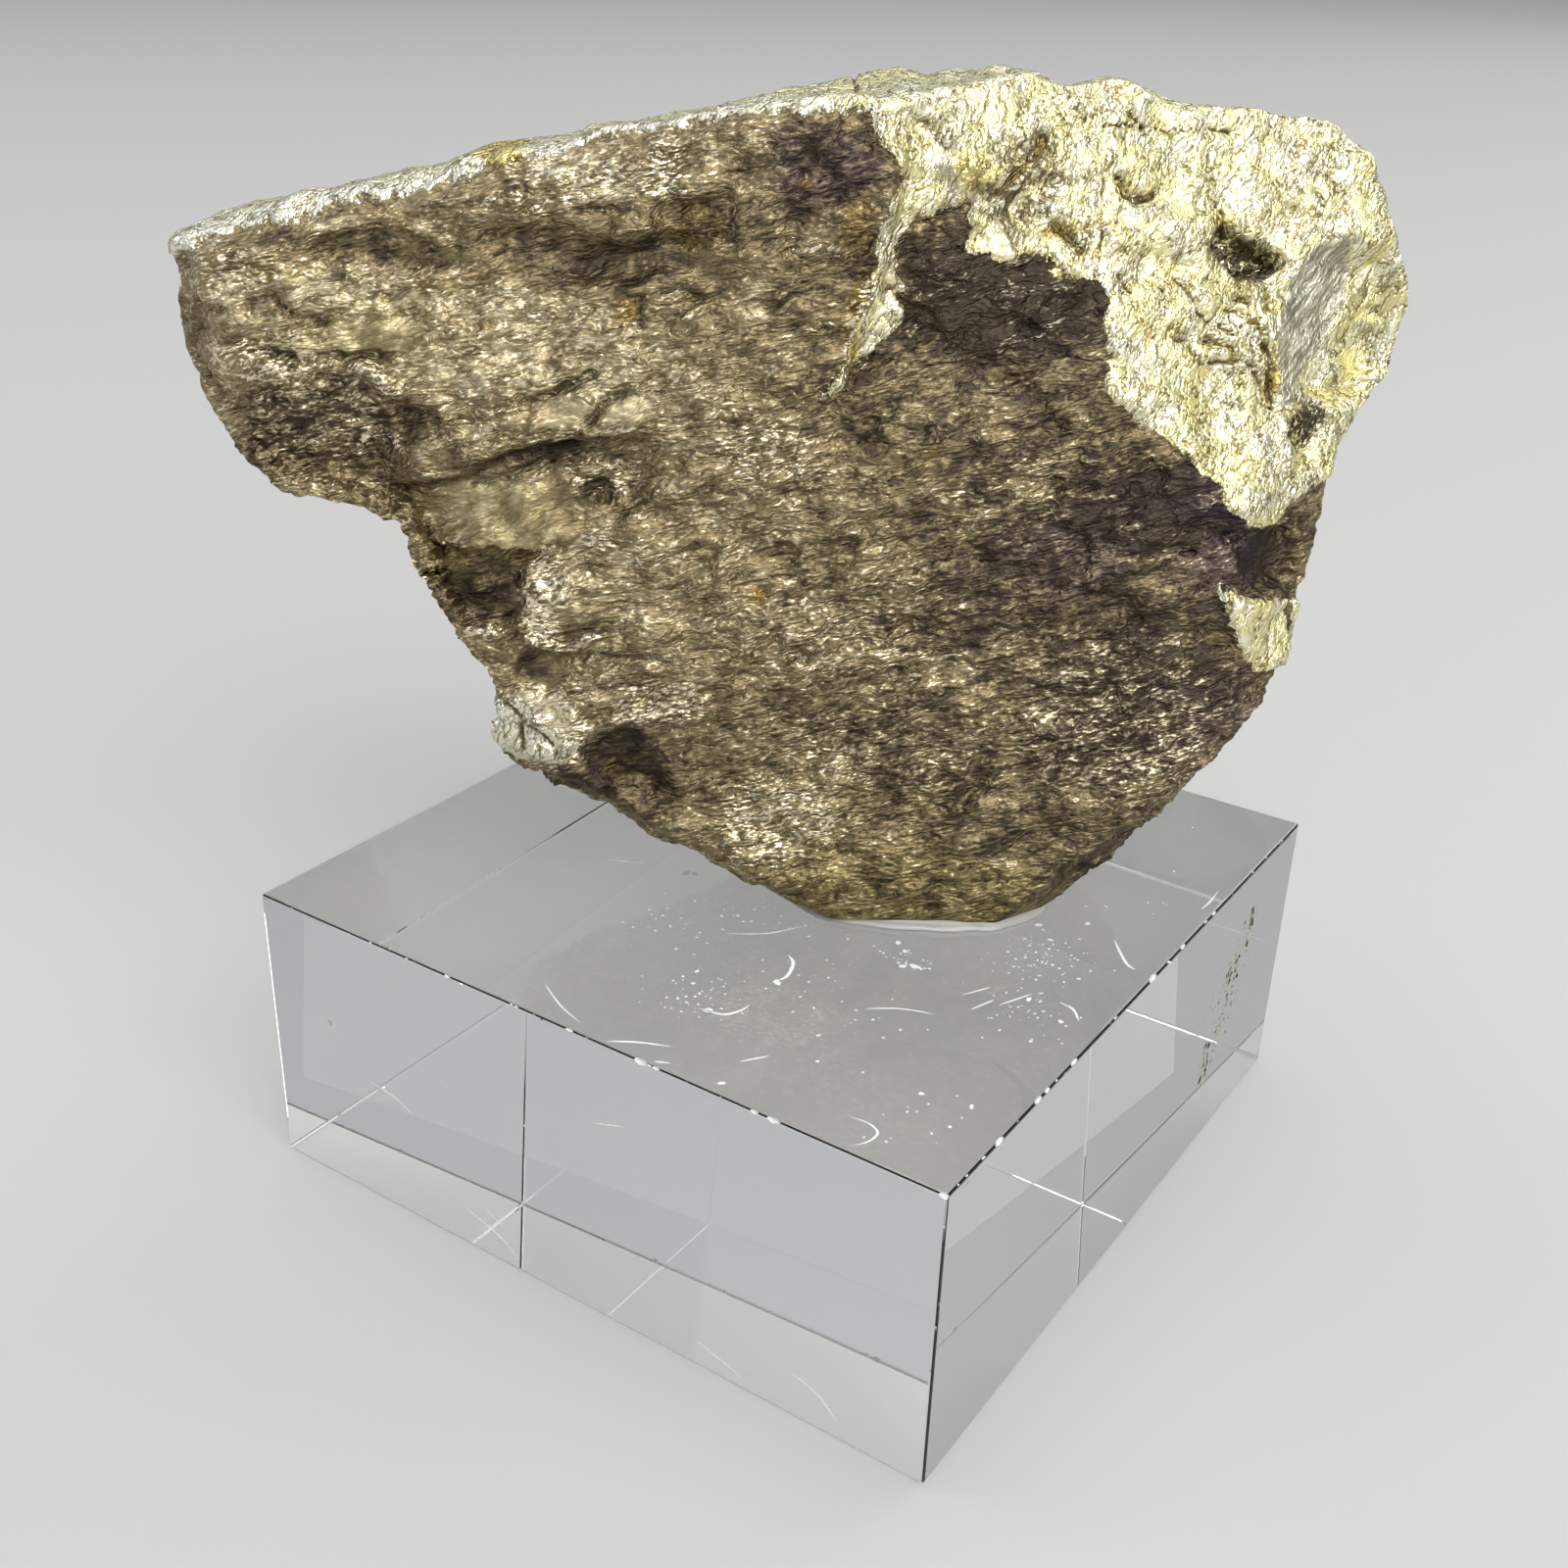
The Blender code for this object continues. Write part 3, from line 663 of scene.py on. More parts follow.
# %% Bright lips
LIPS = [
    ([(-31.6, 33.2), (-30.6, 33.4), (-29.6, 32.7)], 0.34, 0.25),
    ([(-26.2, 33.7), (-25.0, 33.5), (-24.3, 32.4)], 0.34, 0.30),
    ([(-26.9, 28.6), (-26.0, 29.4), (-24.9, 29.7), (-24.2, 28.9)], 0.20, 0.25),
    ([(-33.6, 34.4), (-31.8, 34.7), (-30.6, 34.7)], 0.22, 0.15),
    ([(-20.6, 18.4), (-18.9, 18.4)], 0.30, 0.20),
    ([(-22.0, 23.5), (-21.0, 23.7)], 0.20, 0.15),
    ([(-16.1, 17.7), (-14.4, 17.7), (-13.0, 18.5)], 0.34, 0.30),
    ([(-12.0, 13.4), (-10.4, 13.4), (-8.4, 14.2)], 0.24, 0.20),
    ([(-16.0, 42.4), (-14.2, 42.8), (-12.4, 42.6)], 0.22, 0.15),
    ([(-18.6, 42.7), (-16.9, 42.9)], 0.24, 0.15),
    ([(-10.4, 43.6), (-9.2, 43.0), (-8.0, 43.2)], 0.20, 0.15),
    ([(-1.5, 40.6), (-0.4, 40.5), (0.8, 40.2)], 0.20, 0.20),
    ([(-15.4, 29.8), (-12.6, 30.4), (-10.8, 30.6)], 0.18, 0.15),
    ([(1.1, 34.6), (0.5, 33.5), (-0.3, 32.5)], 0.16, 0.20),
    ([(4.1, 36.2), (6.6, 37.0), (8.0, 37.4)], 0.12, 0.10),
    ([(22.3, 40.6), (23.2, 40.4), (23.7, 40.9)], 0.16, 0.50),
    ([(26.6, 25.0), (27.6, 26.0)], 0.24, 0.20),
]
print("lips", len(LIPS))

# %% Chips
DARK_FACET = [(27.3, 31.9), (29.6, 32.0), (29.8, 30.9), (28.8, 29.4), (27.4, 29.6), (26.9, 31.0)]
CHIPS = [
    (
        [(-9.9, 42.2), (-9.0, 42.9), (-7.0, 42.9), (-5.9, 43.4),
         (-5.2, 43.2), (-5.3, 41.4), (-6.8, 40.6), (-9.2, 40.4)],
        0.80,
    ),
    (
        [(-29.4, 41.1), (-28.2, 41.1), (-28.0, 38.3), (-25.8, 38.2),
         (-24.0, 38.7), (-20.6, 39.3), (-20.6, 40.0), (-23.8, 40.8)],
        0.22,
    ),
    ([(-17.6, 17.4), (-16.0, 17.5), (-14.7, 16.9), (-14.8, 15.3), (-16.4, 14.7), (-17.9, 15.8)], 0.55),
    ([(-11.7, 37.5), (-10.7, 37.6), (-10.6, 36.2), (-11.8, 36.3)], 0.20),
    (DARK_FACET, 0.60),
    ([(24.4, 25.4), (27.6, 25.6), (28.6, 22.0), (25.0, 21.6)], 0.70),
    ([(-24.2, 31.6), (-21.8, 31.6), (-21.6, 29.6), (-24.2, 29.0)], 0.40),
    ([(-16.4, 31.6), (-13.4, 32.6), (-12.8, 31.6), (-14.0, 30.4), (-16.6, 30.2)], -0.45),
    ([(-12.4, 32.0), (-9.4, 32.4), (-9.0, 31.2), (-12.0, 30.8), (-13.2, 30.7)], -0.40),
    ([(-6.0, 24.6), (-1.4, 24.0), (-1.0, 20.6), (-5.0, 20.4)], 0.25),
    ([(4.6, 20.2), (9.4, 19.2), (8.8, 16.0), (4.2, 16.6)], 0.30),
    ([(-2.2, 13.8), (3.0, 13.0), (2.2, 10.2), (-3.0, 10.6)], 0.25),
    ([(13.6, 22.4), (18.6, 21.6), (17.6, 18.0), (13.0, 18.8)], 0.30),
    ([(9.4, 12.0), (14.6, 11.4), (13.8, 8.4), (9.0, 8.6)], 0.25),
]
CHIP_EDGE = 0.35
STRAIGHTNESS = 0.6
print("chips", len(CHIPS))

# %% Height of the small forms
CRACK_FLOOR = 0.25
LIP_CREST = 0.4
LIP_FOOT = 1.3


def small_forms():
    """The height of cracks, lips and chips, and how strongly each point is cracked or lipped."""
    height = np.zeros(len(near_x))
    cracked = np.zeros(len(near_x))
    lipped = np.zeros(len(near_x))
    straight_x = STRAIGHTNESS * stone_points[:, 0] + (1.0 - STRAIGHTNESS) * near_x
    straight_z = STRAIGHTNESS * stone_points[:, 2] + (1.0 - STRAIGHTNESS) * near_z
    for line, width, depth in CRACKS:
        cover = 1.0 - ramp(CRACK_FLOOR * width, width, line_distance(straight_x, straight_z, line))
        height -= depth * cover
        cracked = np.maximum(cracked, cover)
    for line, width, rise in LIPS:
        away = line_distance(near_x, near_z, line)
        cover = 1.0 - ramp(LIP_CREST * width, LIP_FOOT * width, away)
        height += rise * cover
        lipped = np.maximum(lipped, cover)
    for outline, depth in CHIPS:
        height -= depth * ramp(-CHIP_EDGE / 2, CHIP_EDGE / 2, signed_distance(near_x, near_z, outline))
    return height, cracked, lipped


small_height, cracked, lipped = small_forms()
print("deepest small form", round(float(small_height.min()), 2), "mm")

# %% [markdown]
# ## Grain
# Under a lens the skin of the stone is a heap of small broken steps, and each zone has its own kind. A bump
# in the material alone would leave the silhouette smooth, so the coarser kinds are pressed into the mesh,
# one after another. First come the slow lumps of the whole stone, the same as in its solid, and stronger on
# the rough back.

# %% Lumps
GRAINS = [(11.0, 7.0, 0.55, 3.0), (4.6, 2.4, 0.38, 17.0), (2.4, 1.3, 0.20, 41.0)]
FRONT_GRAIN_GAIN = 0.8
BACK_GRAIN_GAIN = 1.6


def lumps():
    """The uneven swell of the whole stone, the same as in the solid."""
    height = 0.0
    for length, rise, gain, seed in GRAINS:
        height = height + gain * noise_field(stone_points, (length, rise, rise), seed)
    return height


print("lump sizes", [length for length, *_ in GRAINS], "mm")

# %% [markdown]
# ## Shingles
# The tarnished face breaks in thin, nearly level steps, like shingles on a roof, whose upper edges catch
# the light. A saw-tooth up the face gives them: it leans out slowly and falls back at once. Noise bends it
# and lets it fade in places, so that no two steps run alike.

# %% Shingles
SHINGLES = [(2.7, 0.34, 6.0, 7.0), (1.15, 0.20, 3.0, 19.0)]
SHINGLE_SLANT = 0.30
SHINGLE_SWAY = 1.4
SHINGLE_RIPPLE = 0.35
SHINGLE_FADE = (-0.30, 0.35)
TOOTH_PEAK = 0.7


def shingles():
    """Steps that lean out slowly and fall back at once, so that their upper edges face the light."""
    slanted = stone_points[:, 2] - SHINGLE_SLANT * stone_points[:, 0]
    height = 0.0
    for period, rise, length, seed in SHINGLES:
        sway = noise_field(stone_points, (length, length, length / 2), seed)
        ripple = noise_field(stone_points, (length / 5, length / 5, length / 9), seed + 1.0)
        share = (slanted / period + SHINGLE_SWAY * sway + SHINGLE_RIPPLE * ripple) % 1.0
        tooth = np.where(share < TOOTH_PEAK, share / TOOTH_PEAK, (1.0 - share) / (1.0 - TOOTH_PEAK))
        fading = noise_field(stone_points, (length, length, length / 3), seed + 2.0)
        strength = ramp(*SHINGLE_FADE, fading)
        height = height + rise * (tooth - 0.5) * strength
    return height


print("shingle heights", [rise for _, rise, *_ in SHINGLES], "mm")

# %% [markdown]
# ## Plates
# Between the steps the face is a mosaic of small flat plates, each tipped its own way, and that is what
# makes it glitter. Cutting hundreds of facets would be slow. Instead each point looks for the nearest of
# many scattered centres and takes on that centre's slope, which gives straight-sided plates of uneven size.

# %% Plates
PLATES = [(4.6, 2.2, 0.13, 61.0), (2.0, 1.0, 0.15, 67.0)]
COLUMN_STRIDE = 127.1
ROW_STRIDE = 311.7
CHANCE_GAIN = 4375.85
FARTHER_THAN_ANY = 9.0


def chance_of(column, row, seed):
    """A fixed number from 0 to 1 for each cell of a grid."""
    return np.sin(column * COLUMN_STRIDE + row * ROW_STRIDE + seed) * CHANCE_GAIN % 1.0


def plates():
    """Small angular breaks: every plate of the face is tipped its own way."""
    along = near_x + SHINGLE_SLANT * near_z
    up = near_z - SHINGLE_SLANT * near_x
    height = 0.0
    for length, rise, tilt, seed in PLATES:
        column, row = np.floor(along / length), np.floor(up / rise)
        nearest = np.full(len(along), FARTHER_THAN_ANY)
        tipped = np.zeros(len(along))
        for step_across, step_up in itertools.product((-1, 0, 1), repeat=2):
            cell = (column + step_across, row + step_up)
            across = along / length - cell[0] - chance_of(*cell, seed)
            above = up / rise - cell[1] - chance_of(*cell, seed + 1.0)
            reach = np.hypot(across, above)
            slope = (2 * chance_of(*cell, seed + 2.0) - 1) * across * length
            slope += (2 * chance_of(*cell, seed + 3.0) - 1) * above * rise
            tipped = np.where(reach < nearest, tilt * slope, tipped)
            nearest = np.minimum(nearest, reach)
        height = height + tipped
    return height


print("plate lengths", [length for length, *_ in PLATES], "mm")

# %% [markdown]
# ## Fibres and creases
# Finer still, the tarnish is splintered along the face, and the bright break is crinkled like foil in every
# direction. Both come from smooth noise whose sign is thrown away: wherever it crosses zero a sharp ridge
# stands. Long thin noise gives fibres, and round noise gives creases.

# %% Fibres and creases
FIBRES = [(1.5, 0.6, 0.12, 5.0), (0.7, 0.36, 0.09, 23.0)]
CREASES = [(3.4, 0.30, 11.0), (1.5, 0.09, 29.0), (0.8, 0.03, 53.0)]
FIBRE_MIDDLE = 0.6
CREASE_MIDDLE = 0.5


def fibres():
    """Thin splintered fibres along the face."""
    height = 0.0
    for length, rise, gain, seed in FIBRES:
        waves = np.abs(noise_field(stone_points, (length, rise, rise), seed))
        height = height + gain * (FIBRE_MIDDLE - 2.0 * waves)
    return height


def crinkle():
    """Sharp creases in every direction, as in crumpled foil."""
    height = 0.0
    for length, gain, seed in CREASES:
        waves = np.abs(noise_field(stone_points, (length, length, length), seed))
        height = height + gain * (CREASE_MIDDLE - 2.0 * waves)
    return height


print("fibre sizes", len(FIBRES), "crease sizes", len(CREASES))

# %% [markdown]
# ## Calm places
# Some plates and hollows are smooth, and the eye rests on them. Each is a soft-edged oval: a centre, two
# radii and how much grain it takes away. The same kind of oval places stains and shades later on.

# %% Calm places
PATCH_FADE = (0.65, 1.3)
PATCH_BACK = 2.0
CALM = [
    ((-24.6, 39.8), (4.6, 1.1), 0.3), ((-12.6, 39.4), (7.2, 1.8), 0.5), ((-18.2, 25.4), (5.0, 2.2), 0.9),
    ((-19.8, 21.0), (2.8, 2.4), 0.5), ((-14.8, 31.4), (1.8, 1.1), 0.8), ((-11.2, 31.6), (1.6, 0.8), 0.8),
    ((-25.4, 35.4), (3.0, 0.9), 0.8), ((-16.4, 16.2), (1.6, 1.3), 0.8), ((-11.6, 10.0), (3.0, 2.8), 0.45),
    ((28.2, 37.0), (2.6, 4.2), 0.8), ((28.4, 30.8), (1.3, 1.3), 0.8), ((31.2, 42.0), (0.6, 1.6), 0.8),
    ((26.2, 23.8), (1.8, 1.8), 0.7),
]


def patch_values(patches):
    """How strongly any of the patches covers each point, from 0 to 1, on the front of the stone."""
    value = np.zeros(len(wide_x))
    for centre, radii, strength in patches:
        x = (near_x + wide_x) / 2
        z = (near_z + wide_z) / 2
        reach = np.hypot((x - centre[0]) / radii[0], (z - centre[1]) / radii[1])
        value = np.maximum(value, strength * (1.0 - ramp(*PATCH_FADE, reach)))
    return np.where(stone_points[:, 1] < PATCH_BACK, value, 0.0)


calm = patch_values(CALM)
print("calm share", round(float((calm > 0.3).mean()), 3))

# %% [markdown]
# ## Press the relief in
# Now all forms are added up and every point moves along its own normal by the sum. Weights say how far a
# point faces the front or the back, so that front forms don't reach round the sides, and the foot stays
# flat, because the stone has to stand on its glue.

# %% Weights
FACING = (0.25, 0.7)
FOOT_FADE = (FOOT_HEIGHT + 0.1, FOOT_HEIGHT + 2.5)
BREAK_EDGE = (-0.15, 0.20)
CALM_GRAIN_LOSS = 0.75
front_weight = ramp(*FACING, -stone_normals[:, 1])
back_weight = ramp(*FACING, stone_normals[:, 1])
foot_weight = ramp(*FOOT_FADE, stone_points[:, 2])
bright_weight = ramp(*BREAK_EDGE, fresh)
lively = 1.0 - CALM_GRAIN_LOSS * calm
print("front share", round(float(front_weight.mean()), 2), "back share", round(float(back_weight.mean()), 2))

# %% Press the relief in
BRIGHT_PLATE_LOSS = 0.4
EDGE_LIP_HEIGHT = 0.30
EDGE_LIP_REACH = (0.4, 3.0)

height = lumps() * (FRONT_GRAIN_GAIN + (BACK_GRAIN_GAIN - FRONT_GRAIN_GAIN) * back_weight)
height -= front_weight * face_depth + back_weight * back_depth
height += front_weight * small_height
height += (shingles() + fibres()) * lively * (1.0 - bright_weight)
height += plates() * (1.0 - BRIGHT_PLATE_LOSS * bright_weight) * np.maximum(front_weight, back_weight)
height += crinkle() * lively * bright_weight
height += EDGE_LIP_HEIGHT * bright_weight * (1.0 - ramp(*EDGE_LIP_REACH, fresh))
moved = stone_points + stone_normals * (height * foot_weight)[:, None]
moved[:, 2] = np.maximum(moved[:, 2], FOOT_HEIGHT)
for vert, place in zip(stone.verts, moved):
    vert.co = place
print("relief from", round(float(height.min()), 2), "to", round(float(height.max()), 2), "mm")

# %% [markdown]
# ## Stains and shades
# Tarnish isn't one colour. Thin films of it shift to ochre, violet and olive, and the skin is lighter or
# darker from place to place. Some dark places are painted shade, and the glittering places carry painted
# glints. A texture painted by hand would do, but named ovals can be read and changed, and they hold at any
# size. The material only sees the number that each point gets from them.

# %% Stains
OCHRE = [
    ((-7.8, 41.6), (2.2, 1.3), 0.40), ((-18.4, 44.2), (1.6, 0.5), 0.9), ((1.5, 38.6), (0.5, 4.4), 0.8),
    ((1.2, 41.6), (0.9, 1.6), 0.6), ((-1.7, 44.0), (0.5, 0.4), 0.8), ((-3.6, 21.0), (0.6, 0.4), 0.9),
    ((-2.9, 18.4), (0.4, 0.3), 0.8), ((6.0, 29.4), (0.5, 0.4), 0.6), ((-11.1, 36.9), (0.6, 0.7), 0.9),
    ((25.4, 34.0), (0.35, 1.8), 0.9), ((-11.8, 10.4), (1.8, 1.6), 0.5), ((22.4, 41.9), (1.0, 0.6), 0.5),
    ((23.6, 38.4), (1.2, 0.5), 0.6), ((7.6, 44.6), (1.4, 0.8), 0.5), ((13.0, 41.6), (1.4, 0.5), 0.7),
    ((27.6, 31.2), (0.5, 1.0), 0.5), ((-30.4, 38.8), (1.6, 0.7), 0.35), ((-21.8, 38.0), (1.6, 0.7), 0.4),
]
VIOLET = [
    ((-20.6, 44.1), (1.3, 0.6), 0.8), ((14.0, 23.9), (4.0, 2.6), 0.5), ((23.8, 24.8), (3.0, 3.2), 0.8),
    ((24.6, 15.0), (2.2, 3.0), 0.5), ((-0.7, 45.0), (3.2, 2.2), 0.6), ((20.0, 27.4), (4.5, 1.8), 0.6),
    ((-16.7, 13.2), (0.6, 0.8), 1.0),
]
OLIVE = [
    ((4.5, 1.6), (13.0, 4.2), 0.7), ((-20.2, 22.2), (3.4, 1.4), 0.9), ((-2.0, 7.0), (5.0, 3.4), 0.4),
    ((-26.0, 35.5), (5.0, 1.6), 0.35), ((-18.0, 25.4), (4.6, 2.0), 0.3),
]
print("stains", len(OCHRE) + len(VIOLET) + len(OLIVE))

# %% Light places, and dark places partly of painted shade
LIGHT = [
    ((-26.0, 36.6), (9.0, 2.6), 0.40), ((-18.0, 35.0), (7.0, 3.4), 0.45), ((-2.2, 7.2), (4.2, 3.0), 0.45),
    ((-18.0, 25.4), (4.6, 2.0), 0.30), ((-14.8, 31.4), (1.8, 1.1), 0.5), ((-11.2, 31.6), (1.6, 0.8), 0.5),
    ((-16.6, 12.8), (1.9, 2.6), 1.0), ((4.5, 2.4), (12.0, 4.0), 0.12), ((-8.0, 33.0), (6.0, 2.6), 0.25),
    ((-2.0, 24.0), (9.0, 7.0), 0.12), ((-31.6, 37.0), (3.4, 1.6), 0.3),
    ((-13.6, 43.8), (3.6, 1.0), 0.35),
]
# Darker places. The bands under the rim, the ledge's shadow, the hollows, the imprint and the chips are
# painted shade; the others are darker tarnish.
DARK_AND_SHADED = [
    ((-24.6, 39.8), (4.6, 1.0), 0.75), ((-12.6, 39.4), (7.2, 1.7), 0.70), ((-28.8, 29.8), (5.4, 3.0), 0.50),
    ((-20.0, 20.8), (2.8, 2.2), 0.90), ((-11.2, 9.9), (3.2, 3.4), 0.95), ((9.6, 38.2), (6.0, 3.6), 0.85),
    ((19.4, 27.0), (5.5, 2.6), 0.65), ((26.4, 23.6), (2.2, 2.0), 0.60), ((-15.8, 28.7), (4.6, 0.8), 0.80),
    ((28.4, 30.8), (1.2, 1.1), 0.80), ((-22.8, 30.4), (1.4, 1.2), 0.45), ((-0.4, 44.6), (3.4, 2.2), 0.50),
    ((12.0, 22.0), (6.0, 4.0), 0.30), ((20.0, 17.0), (6.0, 6.0), 0.25), ((-16.4, 16.2), (1.5, 1.2), 1.00),
    ((11.4, 45.4), (0.8, 0.7), 0.80), ((10.6, 44.0), (1.6, 1.2), 0.35), ((2.4, 30.6), (1.6, 1.4), 0.25),
    ((-13.0, 26.8), (0.9, 0.7), 0.70), ((-14.6, 8.8), (2.6, 1.2), 0.75),
    ((-30.2, 40.4), (1.0, 0.5), 0.60), ((-7.2, 42.0), (2.0, 1.3), 0.55),
]
print("light places", len(LIGHT), "dark places", len(DARK_AND_SHADED))

# %% Glittering places, painted gold shade and painted highlights
# Glittering places get more painted glints.
GLITTER = [
    ((-16.2, 20.4), (1.2, 2.8), 1.0), ((-16.2, 12.4), (2.4, 2.8), 1.0), ((-2.2, 7.2), (4.2, 3.0), 0.6),
    ((-31.0, 33.6), (3.0, 1.2), 0.6), ((-13.0, 24.4), (0.9, 0.7), 0.9), ((-9.0, 14.4), (3.0, 1.2), 0.6),
    ((-12.6, 27.6), (2.0, 1.0), 0.5), ((-32.6, 38.6), (2.4, 1.2), 0.4), ((-14.0, 44.0), (4.0, 1.0), 0.6),
    ((-9.2, 44.4), (1.2, 1.6), 0.7), ((6.0, 12.0), (8.0, 3.0), 0.3), ((-3.0, 29.4), (3.0, 2.0), 0.4),
    ((1.8, 36.6), (0.6, 3.0), 0.8), ((4.0, 19.0), (10.0, 4.0), 0.25), ((18.5, 14.5), (6.5, 5.5), 0.55),
    ((12.0, 27.0), (5.0, 3.0), 0.30),
    ((9.6, 38.4), (5.4, 3.2), 0.7), ((20.0, 27.0), (6.0, 3.0), 0.4), ((-28.6, 30.6), (4.6, 2.6), 0.5),
]
# Places on the gold that are browned by painted shade, where the break lies in shadow.
SHADED_GOLD_PLACES = [
    ((10.0, 43.8), (2.7, 2.6), 1.0), ((7.0, 44.2), (1.8, 0.9), 0.4), ((24.4, 38.4), (1.8, 1.2), 0.4),
    ((24.6, 35.2), (1.3, 1.6), 0.45), ((27.0, 31.6), (1.6, 1.6), 0.5), ((4.2, 45.4), (1.4, 1.0), 0.4),
    ((-16.6, 13.3), (0.7, 0.9), 1.0), ((-15.2, 10.8), (0.8, 0.5), 0.7),
]
# The crystals get the same painted near-white highlight as the rim's front edge.
CRYSTAL_HIGHLIGHT = [((-17.0, 12.8), (3.4, 3.2), 0.65)]
DARK_PIT_EDGE = 0.25
print("glittering places", len(GLITTER), "dull gold places", len(SHADED_GOLD_PLACES))

# %% [markdown]
# ## Shades of the whole stone
# The shade of a point is the sum of its ovals, a little darker towards the right, and clouded at random
# on the back. Many dark ovals are painted shade under the rim and the ledge and in hollows and recesses.
# The front edge of the top rim gets a painted near-white highlight, more so to the left.

# %% Shades of the whole stone
BASE_TONE = 0.06
BACK_CLOUDS = 0.9
RIGHT_SHADE = 0.56
BACK_LIGHTENS = 0.6
# The front edge of the top rim gets a painted near-white highlight, stronger to the left.
RIM_HIGHLIGHT_SHARE = 0.85
TO_THE_RIGHT = (-14.0, 10.0)
TO_THE_LEFT = (-8.0, 10.0)
CLOUD_LENGTHS = (9.0, 9.0, 5.0)
right_side = ramp(*TO_THE_RIGHT, wide_x)
back_cloud = noise_field(stone_points, CLOUD_LENGTHS, 97.0)
# The tone carries the painted shade of the dark ovals.
tone = patch_values(LIGHT) - patch_values(DARK_AND_SHADED) + BASE_TONE
tone += BACK_CLOUDS * back_weight * back_cloud
tone -= RIGHT_SHADE * right_side * (1.0 - BACK_LIGHTENS * back_weight)
front_edge = ramp(1.0, 3.4, -stone_points[:, 1]) * ramp(20.0, 30.0, wide_z)
# Painted highlight along the rim's front edge.
rim_highlight = RIM_HIGHLIGHT_SHARE * ramp(*TO_THE_LEFT, -wide_x) * front_edge
# Painted shade inside the pit; the dark facet is made darker too.
pit = ramp(-DARK_PIT_EDGE, DARK_PIT_EDGE, signed_distance(near_x, near_z, PIT))
dark_facet = signed_distance(near_x, near_z, DARK_FACET)
pit_and_facet_darkening = np.maximum(pit, ramp(-DARK_PIT_EDGE, DARK_PIT_EDGE, dark_facet))
print("tone from", round(float(tone.min()), 2), "to", round(float(tone.max()), 2))

# %% [markdown]
# ## Numbers for the material
# A material can't see the drawn lines and ovals, but it can read a number stored on every point of a mesh,
# called an attribute. A picture wrapped round the stone could carry the same, but it would need unwrapping
# and would blur. So each field becomes one attribute, and the finished mesh takes them with it.

# %% A number for every point
def write_attribute(data, name, values):
    """One number for every point, which a material reads by its name."""
    attribute = data.attributes.new(name, "FLOAT", "POINT")
    attribute.data.foreach_set("value", np.asarray(values, np.float32))


print("attribute helper ready")

# %% Numbers that the material reads
stone_fields = {
    "fresh_edge": fresh,
    "ochre_stain": patch_values(OCHRE),
    "violet_stain": patch_values(VIOLET),
    "olive_stain": patch_values(OLIVE),
    "tone": tone,
    "painted_gold_shade": patch_values(SHADED_GOLD_PLACES),
    "rim_and_crystal_highlight": np.maximum(rim_highlight, patch_values(CRYSTAL_HIGHLIGHT)),
    "calm": calm,
    # The crack cover becomes painted shade in the material.
    "crack_shade": cracked * front_weight,
    # The lips add painted glints along their edges.
    "glitter": np.maximum(patch_values(GLITTER), lipped * front_weight),
    "pit_shade_and_dark_facet": pit_and_facet_darkening * front_weight,
    "striated": ramp(-0.2, 0.2, signed_distance(near_x, near_z, STRIATED)) * front_weight,
}
print("numbers at each point", len(stone_fields))

# %% The finished stone
bmesh.ops.transform(stone, matrix=STONE_TO_WORLD, verts=stone.verts[:])
pyrite_material = simple_material("pyrite", (0.3, 0.25, 0.15), 0.35)
pyrite = link_piece(stone, "pyrite_surface", pyrite_material)
for field_name, field in stone_fields.items():
    write_attribute(pyrite.data, field_name, field)
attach(pyrite, "root")
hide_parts("pyrite_stone")
print("pyrite triangles", sum(len(face.vertices) - 2 for face in pyrite.data.polygons))

# %% [markdown]
# ## Node helpers
# A shader is a wiring diagram, and written out node by node it is hard to follow. A small class keeps the
# words short: add a node, feed a socket, do one arithmetic step, mix two colours. Everything below is wired
# with it.

# %% Node helpers
class NodeSheet:
    """A node tree with short words for adding nodes and joining them."""

    def __init__(self, tree):
        self.tree = tree

    def add(self, kind, settings=None, **inputs):
        """A new node. Settings are its options, inputs its sockets: values or other sockets."""
        node = self.tree.nodes.new(kind)
        for key, value in (settings or {}).items():
            setattr(node, key, value)
        for key, value in inputs.items():
            self.feed(node.inputs[key.replace("_", " ")], value)
        return node

    def feed(self, socket, value):
        """A value, or a link from another socket."""
        if isinstance(value, bpy.types.NodeSocket):
            self.tree.links.new(value, socket)
        else:
            socket.default_value = value

    def math(self, operation, first, second=0.0, third=None, clamp=False):
        """One arithmetic step."""
        node = self.tree.nodes.new("ShaderNodeMath")
        node.operation = operation
        node.use_clamp = clamp
        self.feed(node.inputs[0], first)
        self.feed(node.inputs[1], second)
        if third is not None:
            self.feed(node.inputs[2], third)
        return node.outputs[0]

    def step(self, value, low, high):
        """A smooth step from 0 at low to 1 at high."""
        node = self.tree.nodes.new("ShaderNodeMapRange")
        node.interpolation_type = "SMOOTHSTEP"
        self.feed(node.inputs["Value"], value)
        self.feed(node.inputs["From Min"], low)
        self.feed(node.inputs["From Max"], high)
        return node.outputs["Result"]

    def mix(self, share, first, second, blend="MIX"):
        """Two colours mixed by a share."""
        node = self.tree.nodes.new("ShaderNodeMix")
        node.data_type = "RGBA"
        node.blend_type = blend
        node.clamp_factor = True
        self.feed(node.inputs["Factor"], share)
        self.feed(node.inputs["A"], first if not isinstance(first, tuple) else (*first, 1.0))
        self.feed(node.inputs["B"], second if not isinstance(second, tuple) else (*second, 1.0))
        return node.outputs["Result"]

    def attribute(self, name):
        """A number stored on the piece's points."""
        node = self.tree.nodes.new("ShaderNodeAttribute")
        node.attribute_name = name
        return node.outputs["Fac"]


print("node helpers ready")

